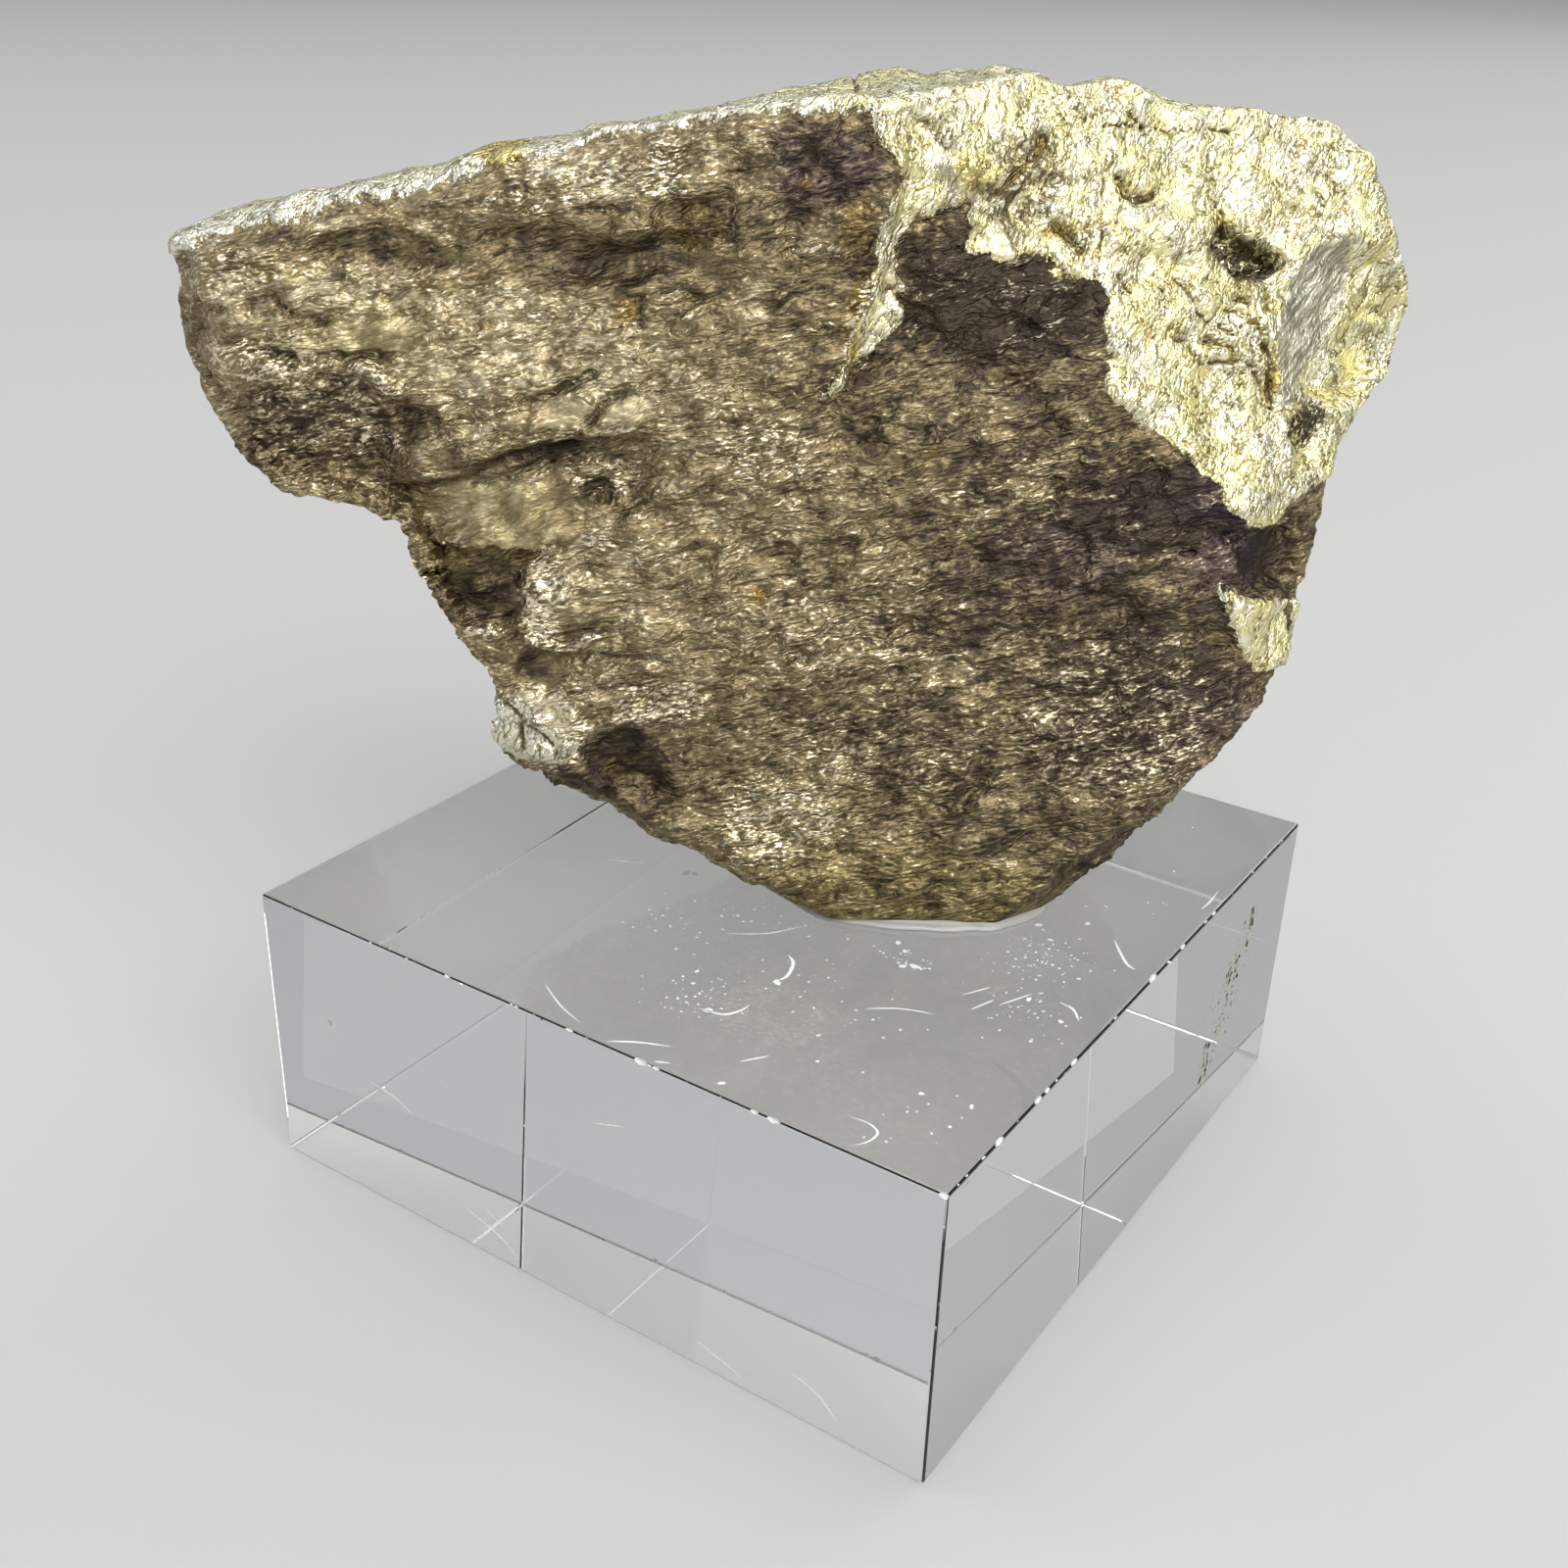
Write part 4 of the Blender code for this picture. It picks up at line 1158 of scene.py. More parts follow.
# %% [markdown]
# ## Shared effects
# An effect that several finishes use is a node group with named inputs, so that each finish can give it its
# own values. The tarnish sparkles with flecks at two sizes, and tarnish, gold and the pit are all folded by
# creases.

# %% An empty group
def new_group(name, inputs, outputs):
    """An empty shader node group with its sockets, its sheet and its two end nodes."""
    group = bpy.data.node_groups.new(name, "ShaderNodeTree")
    for label, kind, value in inputs:
        socket = group.interface.new_socket(name=label, in_out="INPUT", socket_type=kind)
        if value is not None:
            socket.default_value = value
    for label, kind in outputs:
        group.interface.new_socket(name=label, in_out="OUTPUT", socket_type=kind)
    sheet = NodeSheet(group)
    return group, sheet, group.nodes.new("NodeGroupInput"), group.nodes.new("NodeGroupOutput")


print("group helper ready")

# %% Group: flecks
def fleck_group():
    """Scattered glints, made of noise above a level, and the height they belong to."""
    group, sheet, start, end = new_group(
        "flecks",
        [
            ("Vector", "NodeSocketVector", None),
            ("Size", "NodeSocketFloat", 0.3),
            ("Level", "NodeSocketFloat", 0.6),
            ("Softness", "NodeSocketFloat", 0.06),
        ],
        [("Mask", "NodeSocketFloat"), ("Height", "NodeSocketFloat")],
    )
    scale = sheet.math("DIVIDE", 1.0, start.outputs["Size"])
    grain = sheet.add(
        "ShaderNodeTexNoise", Vector=start.outputs["Vector"], Scale=scale, Detail=2.5, Roughness=0.6
    )
    top = sheet.math("ADD", start.outputs["Level"], start.outputs["Softness"])
    sheet.feed(end.inputs["Mask"], sheet.step(grain.outputs["Fac"], start.outputs["Level"], top))
    sheet.feed(end.inputs["Height"], grain.outputs["Fac"])
    return group


flecks = fleck_group()
print("group", flecks.name)

# %% Group: creases
def crease_group():
    """Thin wandering lines along which a surface is folded: 1 in the line, and a height that dips there."""
    group, sheet, start, end = new_group(
        "creases",
        [
            ("Vector", "NodeSocketVector", None),
            ("Size", "NodeSocketFloat", 1.0),
            ("Width", "NodeSocketFloat", 0.02),
        ],
        [("Crease", "NodeSocketFloat"), ("Height", "NodeSocketFloat")],
    )
    scale = sheet.math("DIVIDE", 1.0, start.outputs["Size"])
    field = sheet.add(
        "ShaderNodeTexNoise", Vector=start.outputs["Vector"], Scale=scale, Detail=3.0, Roughness=0.6
    )
    away = sheet.math("ABSOLUTE", sheet.math("SUBTRACT", field.outputs["Fac"], 0.5))
    sheet.feed(end.inputs["Crease"], sheet.step(away, start.outputs["Width"], 0.0))
    sheet.feed(end.inputs["Height"], sheet.step(away, 0.0, 0.10))
    return group


creases = crease_group()
print("group", creases.name)

# %% [markdown]
# ## The pyrite's colours
# Both zones are metal, and a metal's colour is the colour of what it mirrors times its own. So the tarnish
# is dark brown to khaki and fairly rough, and the fresh break is pale gold and smoother. The stains are
# tints that multiply the grain under them, because a thin film colours a surface but doesn't hide it.

# %% Colours of the stone
TARNISH_DEEP = (0.068, 0.054, 0.041)
TARNISH_MID = (0.30, 0.235, 0.130)
TARNISH_LIGHT = (0.72, 0.63, 0.42)
# Colour of the painted glints on the tarnish.
GLINT_HIGHLIGHT_CREAM = (0.96, 0.88, 0.66)
FRESH_GOLD = (0.90, 0.84, 0.46)
FRESH_PALE = (0.95, 0.93, 0.70)
# Colour of the painted shade in the creases of the gold.
CREASE_SHADE_GOLD = (0.24, 0.18, 0.06)
STEEL_DARK = (0.36, 0.34, 0.26)
STEEL_LIGHT = (0.80, 0.77, 0.62)
# Colour of the painted shade in the pit and the tarnish's cracks, and of the dark facet.
DEEP_SHADE_BROWN = (0.035, 0.028, 0.020)
OCHRE_TINT = (0.84, 0.70, 0.30)
VIOLET_TINT = (0.64, 0.57, 1.00)
OLIVE_TINT = (0.96, 0.98, 0.74)
# Colour of the painted highlight on the rim's front edge and the crystals.
RIM_HIGHLIGHT_WHITE = (0.93, 0.91, 0.81)
# Colour of the painted shade in the cracks of the fresh break.
CRACK_SHADE_COLOUR = (0.16, 0.12, 0.05)
# Colour of the painted shade on the gold.
GOLD_SHADE_BROWN = (0.184, 0.145, 0.086)
print("colours ready")

# %% [markdown]
# ## Places for grain
# Grain runs along a face, and noise is round. It is given a direction by changing the place that it is
# read at: turned to the slant, stretched along it and pushed up and down by slow noise, so that it runs in
# gentle waves. These helpers do that, and one more places the shared creases.

# %% Places for grain
def mixed_number(sheet, share, first, second):
    """One number moved towards another by a share."""
    node = sheet.add("ShaderNodeMix", {"data_type": "FLOAT"})
    sheet.feed(node.inputs["Factor"], share)
    sheet.feed(node.inputs["A"], first)
    sheet.feed(node.inputs["B"], second)
    return node.outputs["Result"]


def turned(sheet, vector, degrees, stretch):
    """A place turned about the stone's y and then stretched, for grain that runs along the face."""
    turn = sheet.add("ShaderNodeMapping", Vector=vector)
    turn.inputs["Rotation"].default_value = (0.0, math.radians(degrees), 0.0)
    drawn = sheet.add("ShaderNodeMapping", Vector=turn.outputs["Vector"])
    drawn.inputs["Scale"].default_value = stretch
    return drawn.outputs["Vector"]


def swayed(sheet, vector, scale, reach):
    """A place pushed up and down by slow noise, so that straight grain runs in gentle waves."""
    sway = sheet.add("ShaderNodeTexNoise", Vector=vector, Scale=scale, Detail=1.0)
    moved = sheet.add("ShaderNodeVectorMath", {"operation": "MULTIPLY_ADD"})
    sheet.feed(moved.inputs[0], sway.outputs["Color"])
    sheet.feed(moved.inputs[1], (0.0, 0.0, reach))
    sheet.feed(moved.inputs[2], vector)
    return moved.outputs["Vector"]


def add_creases(sheet, place, size, width):
    """The crease group at a place: its size is in millimetres, its width a share of its noise."""
    node = sheet.add("ShaderNodeGroup", {"node_tree": creases}, Vector=place)
    node.inputs["Size"].default_value = size
    node.inputs["Width"].default_value = width
    return node


print("grain helpers ready")

# %% [markdown]
# ## The tarnish
# The brown skin is built up in the order in which an eye sees it: a slow cloud of light and dark, the
# slanting grain of two sizes of fleck, the stains, folds darkened by painted shade, and at last painted
# cream glints. The glints only show where the skin is light or drawn as glittering, so they come in
# clusters, as they do where small faces lie the same way.

# %% Numbers of the tarnish
COARSE_FLECK = 0.75
FINE_FLECK = 0.24
FLECK_LEVEL = 0.59
GLITTER_GAIN = 0.13
FOLD_CREASE = (1.6, 0.020)
CLOUD_GAIN = 0.55
TONE_GAIN = 0.22
GRAIN_GAIN = 0.54
CALM_LOSS = 0.7
DARK_TO_MID = (0.26, 0.50)
MID_TO_LIGHT = (0.50, 0.74)
STAIN_PATCHES = (0.30, 0.55)
FOLD_SHADE_SHARE = 0.6
CLUSTER_GAIN = 0.25
CLUSTERED = (0.44, 0.70)
CRACK_SHADE_SHARE = 0.55
FINE_HEIGHT = 0.40
FOLD_HEIGHT = 0.35
TARNISH_ROUGHNESS = 0.50
GLINT_ROUGHNESS = 0.28
print("tarnish flecks", COARSE_FLECK, "and", FINE_FLECK, "mm")

# %% Tarnish
def add_tarnish(sheet, place, fibre_place):
    """The brown skin: its colour, its roughness and the height of its grain."""
    cloud = sheet.add("ShaderNodeTexNoise", Vector=place, Scale=0.45, Detail=4.0, Roughness=0.6)
    coarse = sheet.add("ShaderNodeGroup", {"node_tree": flecks}, Vector=fibre_place, Size=COARSE_FLECK)
    glitter = sheet.attribute("glitter")
    level = sheet.math("MULTIPLY_ADD", glitter, -GLITTER_GAIN, FLECK_LEVEL)
    fine = sheet.add("ShaderNodeGroup", {"node_tree": flecks}, Vector=fibre_place)
    fine.inputs["Size"].default_value = FINE_FLECK
    sheet.feed(fine.inputs["Level"], level)
    folds = add_creases(sheet, fibre_place, *FOLD_CREASE)
    cloud_share = sheet.math("MULTIPLY_ADD", cloud.outputs["Fac"], CLOUD_GAIN, (1.0 - CLOUD_GAIN) / 2)
    shade = sheet.math("MULTIPLY_ADD", sheet.attribute("tone"), TONE_GAIN, cloud_share)
    lively = sheet.math("MULTIPLY_ADD", sheet.attribute("calm"), -CALM_LOSS, 1.0)
    grain = sheet.math("ADD", coarse.outputs["Height"], fine.outputs["Height"])
    grain_gain = sheet.math("MULTIPLY", lively, GRAIN_GAIN)
    grain = sheet.math("MULTIPLY", sheet.math("SUBTRACT", grain, 1.0), grain_gain)
    shade = sheet.math("ADD", shade, grain)
    deep = sheet.mix(sheet.step(shade, *DARK_TO_MID), TARNISH_DEEP, TARNISH_MID)
    colour = sheet.mix(sheet.step(shade, *MID_TO_LIGHT), deep, TARNISH_LIGHT)
    patchy = sheet.step(cloud.outputs["Fac"], *STAIN_PATCHES)
    ochre = sheet.math("MULTIPLY", sheet.attribute("ochre_stain"), patchy)
    colour = sheet.mix(ochre, colour, OCHRE_TINT, "MULTIPLY")
    violet = sheet.math("MULTIPLY", sheet.attribute("violet_stain"), patchy)
    colour = sheet.mix(violet, colour, VIOLET_TINT, "MULTIPLY")
    colour = sheet.mix(sheet.attribute("olive_stain"), colour, OLIVE_TINT, "MULTIPLY")
    # Painted shade along the folds.
    fold_shade = sheet.math("MULTIPLY", folds.outputs["Crease"], sheet.math("MULTIPLY", lively, FOLD_SHADE_SHARE))
    colour = sheet.mix(fold_shade, colour, TARNISH_DEEP)
    # Painted glints: cream highlights in clusters where the skin is light or glittering.
    clustered = sheet.step(sheet.math("MULTIPLY_ADD", glitter, CLUSTER_GAIN, shade), *CLUSTERED)
    glint = sheet.math("MULTIPLY", fine.outputs["Mask"], sheet.math("MULTIPLY", lively, clustered))
    colour = sheet.mix(glint, colour, GLINT_HIGHLIGHT_CREAM)
    # Painted shade in the drawn cracks.
    colour = sheet.mix(sheet.math("MULTIPLY", sheet.attribute("crack_shade"), CRACK_SHADE_SHARE), colour, DEEP_SHADE_BROWN)
    roughness = mixed_number(sheet, glint, TARNISH_ROUGHNESS, GLINT_ROUGHNESS)
    height = sheet.math("MULTIPLY_ADD", fine.outputs["Height"], FINE_HEIGHT, coarse.outputs["Height"])
    height = sheet.math("MULTIPLY_ADD", folds.outputs["Height"], FOLD_HEIGHT, height)
    return colour, roughness, sheet.math("MULTIPLY", height, lively)


print("tarnish helper ready")

# %% [markdown]
# ## The fresh break
# Freshly broken pyrite is pale gold and folded like foil. Two sizes of crease run over it, darkened by
# painted shade, slanting up to the right, with the fine one fading in and out. Some places are browned by
# painted shade, the rim's front edge and the crystals carry a painted near-white highlight, and the painted
# shade of the drawn cracks is dark only in parts, since an even line would look inked.

# %% Fresh gold
FOIL_SLANT = 62.0
FOIL_STRETCH = (0.5, 1.0, 1.25)
WIDE_CREASE = (1.4, 0.030)
NARROW_CREASE = (0.55, 0.038)
NARROW_HEIGHT = 0.5
NARROW_FADE = (0.35, 0.6)
PALE_CLOUDS = (0.4, 0.6)
GOLD_SHADE_PATCHES = (0.42, 0.55)
CRACK_SHADE_CORE = (0.3, 0.85)
CRACK_SHADE_BREAKS = (0.26, 0.50)


def add_fresh_gold(sheet, place):
    """The bright break: its colour and the height of its creases."""
    folded = swayed(sheet, turned(sheet, place, FOIL_SLANT, FOIL_STRETCH), 0.35, 2.0)
    wide = add_creases(sheet, folded, *WIDE_CREASE)
    narrow = add_creases(sheet, folded, *NARROW_CREASE)
    cloud = sheet.add("ShaderNodeTexNoise", Vector=place, Scale=0.6, Detail=3.0)
    colour = sheet.mix(sheet.step(cloud.outputs["Fac"], *PALE_CLOUDS), FRESH_GOLD, FRESH_PALE)
    fading = sheet.step(cloud.outputs["Fac"], *NARROW_FADE)
    narrow_line = sheet.math("MULTIPLY", narrow.outputs["Crease"], fading)
    line = sheet.math("MAXIMUM", wide.outputs["Crease"], narrow_line)
    # Painted near-white highlight on the rim's front edge and the crystals.
    colour = sheet.mix(sheet.attribute("rim_and_crystal_highlight"), colour, RIM_HIGHLIGHT_WHITE)
    # Painted shade along the creases.
    colour = sheet.mix(line, colour, CREASE_SHADE_GOLD)
    # Painted shade on parts of the gold, broken up by a mottle.
    mottle = sheet.add("ShaderNodeTexNoise", Vector=place, Scale=1.6, Detail=4.0, Roughness=0.65)
    patchy = sheet.step(mottle.outputs["Fac"], *GOLD_SHADE_PATCHES)
    shaded = sheet.math("MULTIPLY", sheet.attribute("painted_gold_shade"), patchy)
    colour = sheet.mix(shaded, colour, GOLD_SHADE_BROWN)
    colour = sheet.mix(sheet.attribute("ochre_stain"), colour, OCHRE_TINT, "MULTIPLY")
    # Painted shade in the drawn cracks, broken into parts.
    broken = sheet.step(mottle.outputs["Fac"], *CRACK_SHADE_BREAKS)
    crack_shade = sheet.math("MULTIPLY", sheet.step(sheet.attribute("crack_shade"), *CRACK_SHADE_CORE), broken)
    colour = sheet.mix(crack_shade, colour, CRACK_SHADE_COLOUR)
    height = sheet.math("MULTIPLY_ADD", narrow.outputs["Height"], NARROW_HEIGHT, wide.outputs["Height"])
    return colour, height


print("foil slants", FOIL_SLANT, "degrees")

# %% [markdown]
# ## The striated facet
# One facet inside the break was a crystal's face and not a fracture. Growth left it grey like steel and
# scored by fine parallel lines. Noise stretched five times thinner across the lines than a plain one gives
# them.

# %% Steel facet
SCORE_SLANT = 46.0
SCORE_STRETCH = (0.25, 1.0, 5.0)
SCORE_SHADES = (0.40, 0.64)
STEEL_ROUGHNESS = 0.4


def add_steel(sheet, place, colour, roughness):
    """The striated facet: grey steel scored by fine slanting lines."""
    scored = turned(sheet, place, SCORE_SLANT, SCORE_STRETCH)
    lines = sheet.add("ShaderNodeTexNoise", Vector=scored, Scale=0.9, Detail=3.0)
    steel = sheet.mix(sheet.step(lines.outputs["Fac"], *SCORE_SHADES), STEEL_DARK, STEEL_LIGHT)
    facet = sheet.attribute("striated")
    return sheet.mix(facet, colour, steel), mixed_number(sheet, facet, roughness, STEEL_ROUGHNESS)


print("facet scored at", SCORE_SLANT, "degrees")

# %% [markdown]
# ## The stone's material
# The zones meet along the distance that every point carries, made a little more ragged by fine noise. One
# material for the whole stone keeps that edge sharp, where two materials could only meet along the mesh's
# own edges. The pattern is placed in the stone's own frame, in millimetres, so that sizes here are real
# sizes.

# %% The stone's material
FIBRE_SLANT = 14.0
FIBRE_STRETCH = (0.5, 1.0, 1.5)
EDGE_WOBBLE = 0.9
EDGE_BLEND = (-0.05, 0.05)
GOLD_ROUGHNESS = 0.30
GOLD_RELIEF = 0.25
HOLLOW_SHADE_SHARE = 0.92
WISP_CREASE = (1.1, 0.035)
RELIEF_DEPTH = 0.27 * MM


def dress_pyrite(material):
    """Join the zones by the jagged edge of the fresh break and feed the shader."""
    sheet = NodeSheet(material.node_tree)
    shader = material.node_tree.nodes["Principled BSDF"]
    coordinates = sheet.add("ShaderNodeTexCoord")
    own = sheet.add("ShaderNodeMapping", Vector=coordinates.outputs["Object"])
    own.inputs["Rotation"].default_value = (0.0, 0.0, -STONE_TURN)
    own.inputs["Scale"].default_value = (1 / MM, 1 / MM, 1 / MM)
    place = own.outputs["Vector"]
    fibre_place = swayed(sheet, turned(sheet, place, FIBRE_SLANT, FIBRE_STRETCH), 0.5, 1.6)

    ragged = sheet.add("ShaderNodeTexNoise", Vector=place, Scale=2.0, Detail=3.0, Roughness=0.6)
    wobble = sheet.math("MULTIPLY", sheet.math("SUBTRACT", ragged.outputs["Fac"], 0.5), EDGE_WOBBLE)
    is_fresh = sheet.step(sheet.math("ADD", sheet.attribute("fresh_edge"), wobble), *EDGE_BLEND)
    tarnish, tarnish_rough, tarnish_height = add_tarnish(sheet, place, fibre_place)
    gold, gold_height = add_fresh_gold(sheet, place)
    gold, gold_rough = add_steel(sheet, place, gold, GOLD_ROUGHNESS)
    colour = sheet.mix(is_fresh, tarnish, gold)
    wisps = add_creases(sheet, place, *WISP_CREASE)
    # Painted shade in the pit and darkening of the dark facet, left out along fine wisps.
    hollow = sheet.math("SUBTRACT", sheet.attribute("pit_shade_and_dark_facet"), wisps.outputs["Crease"], clamp=True)
    colour = sheet.mix(sheet.math("MULTIPLY", hollow, HOLLOW_SHADE_SHARE), colour, DEEP_SHADE_BROWN)
    sheet.feed(shader.inputs["Base Color"], colour)
    shader.inputs["Metallic"].default_value = 1.0
    sheet.feed(shader.inputs["Roughness"], mixed_number(sheet, is_fresh, tarnish_rough, gold_rough))
    gold_relief = sheet.math("MULTIPLY", gold_height, GOLD_RELIEF)
    height = mixed_number(sheet, is_fresh, tarnish_height, gold_relief)
    relief = sheet.add("ShaderNodeBump", Strength=1.0, Distance=RELIEF_DEPTH, Height=height)
    sheet.feed(shader.inputs["Normal"], relief.outputs["Normal"])


dress_pyrite(pyrite_material)
print("pyrite nodes", len(pyrite_material.node_tree.nodes))

# %% [markdown]
# ## Where the block is nicked
# Cast acrylic is clear to the edge, and its edges are barely eased. Years of handling have nicked them. The
# nicks that show are named one by one, by their place on the block's top in millimetres and their size, and
# small ones are spread by chance along all four top edges.

# %% Nicks of the edges
EDGE_EASE = 0.20 * MM
HALF_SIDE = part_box("acrylic_block")[1].x / MM
TOP = BLOCK_TOP / MM
NAMED_CHIPS = [
    ((5.5, -HALF_SIDE), 0.45), ((6.6, -HALF_SIDE), 0.30), ((13.2, -HALF_SIDE), 0.30),
    ((14.4, -HALF_SIDE), 0.42), ((HALF_SIDE, -HALF_SIDE), 0.50), ((HALF_SIDE, -19.4), 0.42),
    ((HALF_SIDE, -15.0), 0.35), ((HALF_SIDE, -13.9), 0.28), ((HALF_SIDE, -10.6), 0.35),
    ((HALF_SIDE, 0.1), 0.45), ((HALF_SIDE, 4.6), 0.32), ((HALF_SIDE, 9.6), 0.26),
    ((0.4, -HALF_SIDE), 0.28), ((-9.0, -HALF_SIDE), 0.24), ((-HALF_SIDE, 6.0), 0.34),
    ((-HALF_SIDE, -8.0), 0.30), ((8.0, HALF_SIDE), 0.30), ((-12.0, HALF_SIDE), 0.34),
]
SMALL_CHIPS_PER_EDGE = 14
chances = random.Random(7)
print("named nicks", len(NAMED_CHIPS))

# %% [markdown]
# ## The block's body
# The body is a cube scaled to the solid's own box, with its edges bevelled by a fifth of a millimetre,
# because a perfectly sharp edge of clear plastic catches no light at all.

# %% The block's body
def block_mesh():
    """The square block with eased edges, in the box of the solid."""
    low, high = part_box("acrylic_block")
    mesh = bmesh.new()
    bmesh.ops.create_cube(mesh, size=1.0)
    bmesh.ops.scale(mesh, vec=high - low, verts=mesh.verts[:])
    bmesh.ops.translate(mesh, vec=(high + low) / 2, verts=mesh.verts[:])
    bmesh.ops.bevel(
        mesh, geom=mesh.edges[:], offset=EDGE_EASE, affect="EDGES", segments=3, profile=0.5, material=-1
    )
    return mesh


print("edges eased by", round(EDGE_EASE / MM, 2), "mm")

# %% [markdown]
# ## Cutting the nicks
# A nick in acrylic is a small shell-shaped break with a white, rough skin. A rough pebble is set astride
# the edge for each one, all pebbles go into one cutter, and a Boolean takes them out of the block at once.
# The cutter's own finish is carried over to the cut faces, so the nicks are frosted while the block stays
# clear.

# %% One pebble for each nick
PEBBLE_SINK = 0.03
PEBBLE_SIZE = 0.65


def chip_places():
    """The chips that the photograph shows, and small ones spread along the four top edges."""
    places = list(NAMED_CHIPS)
    for side in (-HALF_SIDE, HALF_SIDE):
        for _ in range(SMALL_CHIPS_PER_EDGE):
            places.append(((chances.uniform(-24.0, 24.0), side), chances.uniform(0.12, 0.22)))
            places.append(((side, chances.uniform(-24.0, 24.0)), chances.uniform(0.12, 0.22)))
    return places


def chip_cutter():
    """One rough pebble for each chip, set astride the edge."""
    mesh = bmesh.new()
    for (x, y), size in chip_places():
        pebble = bmesh.ops.create_icosphere(mesh, subdivisions=1, radius=PEBBLE_SIZE * size)["verts"]
        along = (2.0, 0.9, 0.9) if abs(y) == HALF_SIDE else (0.9, 2.0, 0.9)
        bmesh.ops.scale(mesh, vec=along, verts=pebble)
        for vert in pebble:
            vert.co *= chances.uniform(0.8, 1.15)
        bmesh.ops.translate(mesh, vec=(x, y, TOP - PEBBLE_SINK), verts=pebble)
    bmesh.ops.scale(mesh, vec=(MM, MM, MM), verts=mesh.verts[:])
    return mesh


print("pebble helpers ready")

# %% Cut the nicks
FROSTED = (0.62, 0.64, 0.64)
acrylic = simple_material("clear_acrylic", (1.0, 1.0, 1.0), 0.0)
chipped = simple_material("chipped_acrylic", FROSTED, 0.45)
block = link_piece(block_mesh(), "display_block", acrylic, smooth=False)
cutter = link_piece(chip_cutter(), "chip_cutter", chipped, smooth=False)
cut = block.modifiers.new("chips", "BOOLEAN")
cut.object = cutter
cut.operation = "DIFFERENCE"
cut.solver = "EXACT"
cut.use_self = True
cut.material_mode = "TRANSFER"
graph = bpy.context.evaluated_depsgraph_get()
chipped_block = bpy.data.meshes.new_from_object(block.evaluated_get(graph))
block.modifiers.remove(cut)
block.data = chipped_block
bpy.data.objects.remove(cutter, do_unlink=True)
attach(block, "root")
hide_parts("acrylic_block")
print("block", [round(side / MM, 2) for side in block.dimensions], "finishes", len(block.data.materials))

# %% [markdown]
# ## The acrylic's finish
# Clear acrylic is plain transmission with an index of 1.49. A renderer that bends light through it leaves a
# dark shadow, since it can't focus the lamps through two faces. So shadow rays meet a grey transparent
# shader, which lets part of the light through to the table, as the real block does.

# %% Acrylic's finish
ACRYLIC_INDEX = 1.49
SHADOW_LIGHT = 0.32


def dress_acrylic(material):
    """Clear plastic that lets part of the lamps' light through to the table."""
    nodes, links = material.node_tree.nodes, material.node_tree.links
    shader = nodes["Principled BSDF"]
    shader.inputs["Transmission Weight"].default_value = 1.0
    shader.inputs["IOR"].default_value = ACRYLIC_INDEX
    rays = nodes.new("ShaderNodeLightPath")
    clear = nodes.new("ShaderNodeBsdfTransparent")
    clear.inputs["Color"].default_value = (SHADOW_LIGHT, SHADOW_LIGHT, SHADOW_LIGHT, 1.0)
    either = nodes.new("ShaderNodeMixShader")
    links.new(rays.outputs["Is Shadow Ray"], either.inputs["Fac"])
    links.new(shader.outputs["BSDF"], either.inputs[1])
    links.new(clear.outputs["BSDF"], either.inputs[2])
    links.new(either.outputs["Shader"], nodes["Material Output"].inputs["Surface"])


dress_acrylic(acrylic)
print("acrylic lets", round(SHADOW_LIGHT**2, 2), "of the lamps' light through two faces")

# %% [markdown]
# ## Hairlines and dust
# Handling leaves hairlines and dust on clear plastic, and they show as pale marks. A scratch map in the
# material would need one place for every mark all the same, so they are thin slivers and flakes laid just
# above the faces. Hairlines are drawn as a few points with a width, larger flakes by place and size, and
# fine dust by clouds.

# %% Hairlines
HAIRLINES = [
    ([(2.8, -24.7), (4.3, -23.7), (6.1, -22.9)], 0.16),
    ([(6.2, -24.6), (7.0, -24.2)], 0.14),
    ([(1.4, -11.3), (3.5, -9.7), (4.8, -7.6)], 0.11),
    ([(5.9, -11.0), (6.7, -11.6), (7.2, -13.0), (7.0, -13.8)], 0.26),
    ([(5.0, -18.9), (6.5, -18.6), (7.1, -17.7), (7.2, -16.9)], 0.20),
    ([(12.8, -13.2), (14.4, -12.0), (16.3, -11.3)], 0.16),
    ([(17.6, -22.4), (18.7, -22.3), (19.5, -22.7), (19.5, -23.6), (19.0, -24.4)], 0.15),
    ([(-10.5, -8.4), (-9.4, -7.9), (-8.2, -7.3)], 0.14),
    ([(-3.8, -22.2), (-1.6, -23.4), (0.5, -24.1)], 0.12),
    ([(10.0, -21.8), (11.0, -20.4)], 0.14),
    ([(24.1, 9.4), (24.2, 10.4), (24.1, 12.4)], 0.16),
    ([(21.2, 2.6), (22.9, 0.6), (23.7, 0.2)], 0.24),
    ([(21.6, -5.8), (22.6, -6.0), (23.4, -6.9)], 0.18),
    ([(16.6, -8.6), (17.6, -6.8)], 0.12),
    ([(17.8, -9.6), (18.4, -7.9)], 0.14),
    ([(18.9, -8.2), (19.9, -6.0)], 0.12),
]
FRONT_HAIRLINES = [
    ([(-8.4, 2.8), (-5.8, 2.0), (-4.2, 0.9)], 0.12),
    ([(-6.8, 3.6), (-5.4, 2.8)], 0.10),
    ([(9.6, 1.9), (12.8, 0.9)], 0.10),
    ([(16.2, 3.2), (18.0, 2.6), (19.4, 1.3)], 0.12),
    ([(-16.4, 9.2), (-14.2, 8.9), (-12.8, 8.2)], 0.10),
    ([(2.0, 14.2), (4.4, 15.0)], 0.09),
]
print("hairlines", len(HAIRLINES) + len(FRONT_HAIRLINES))

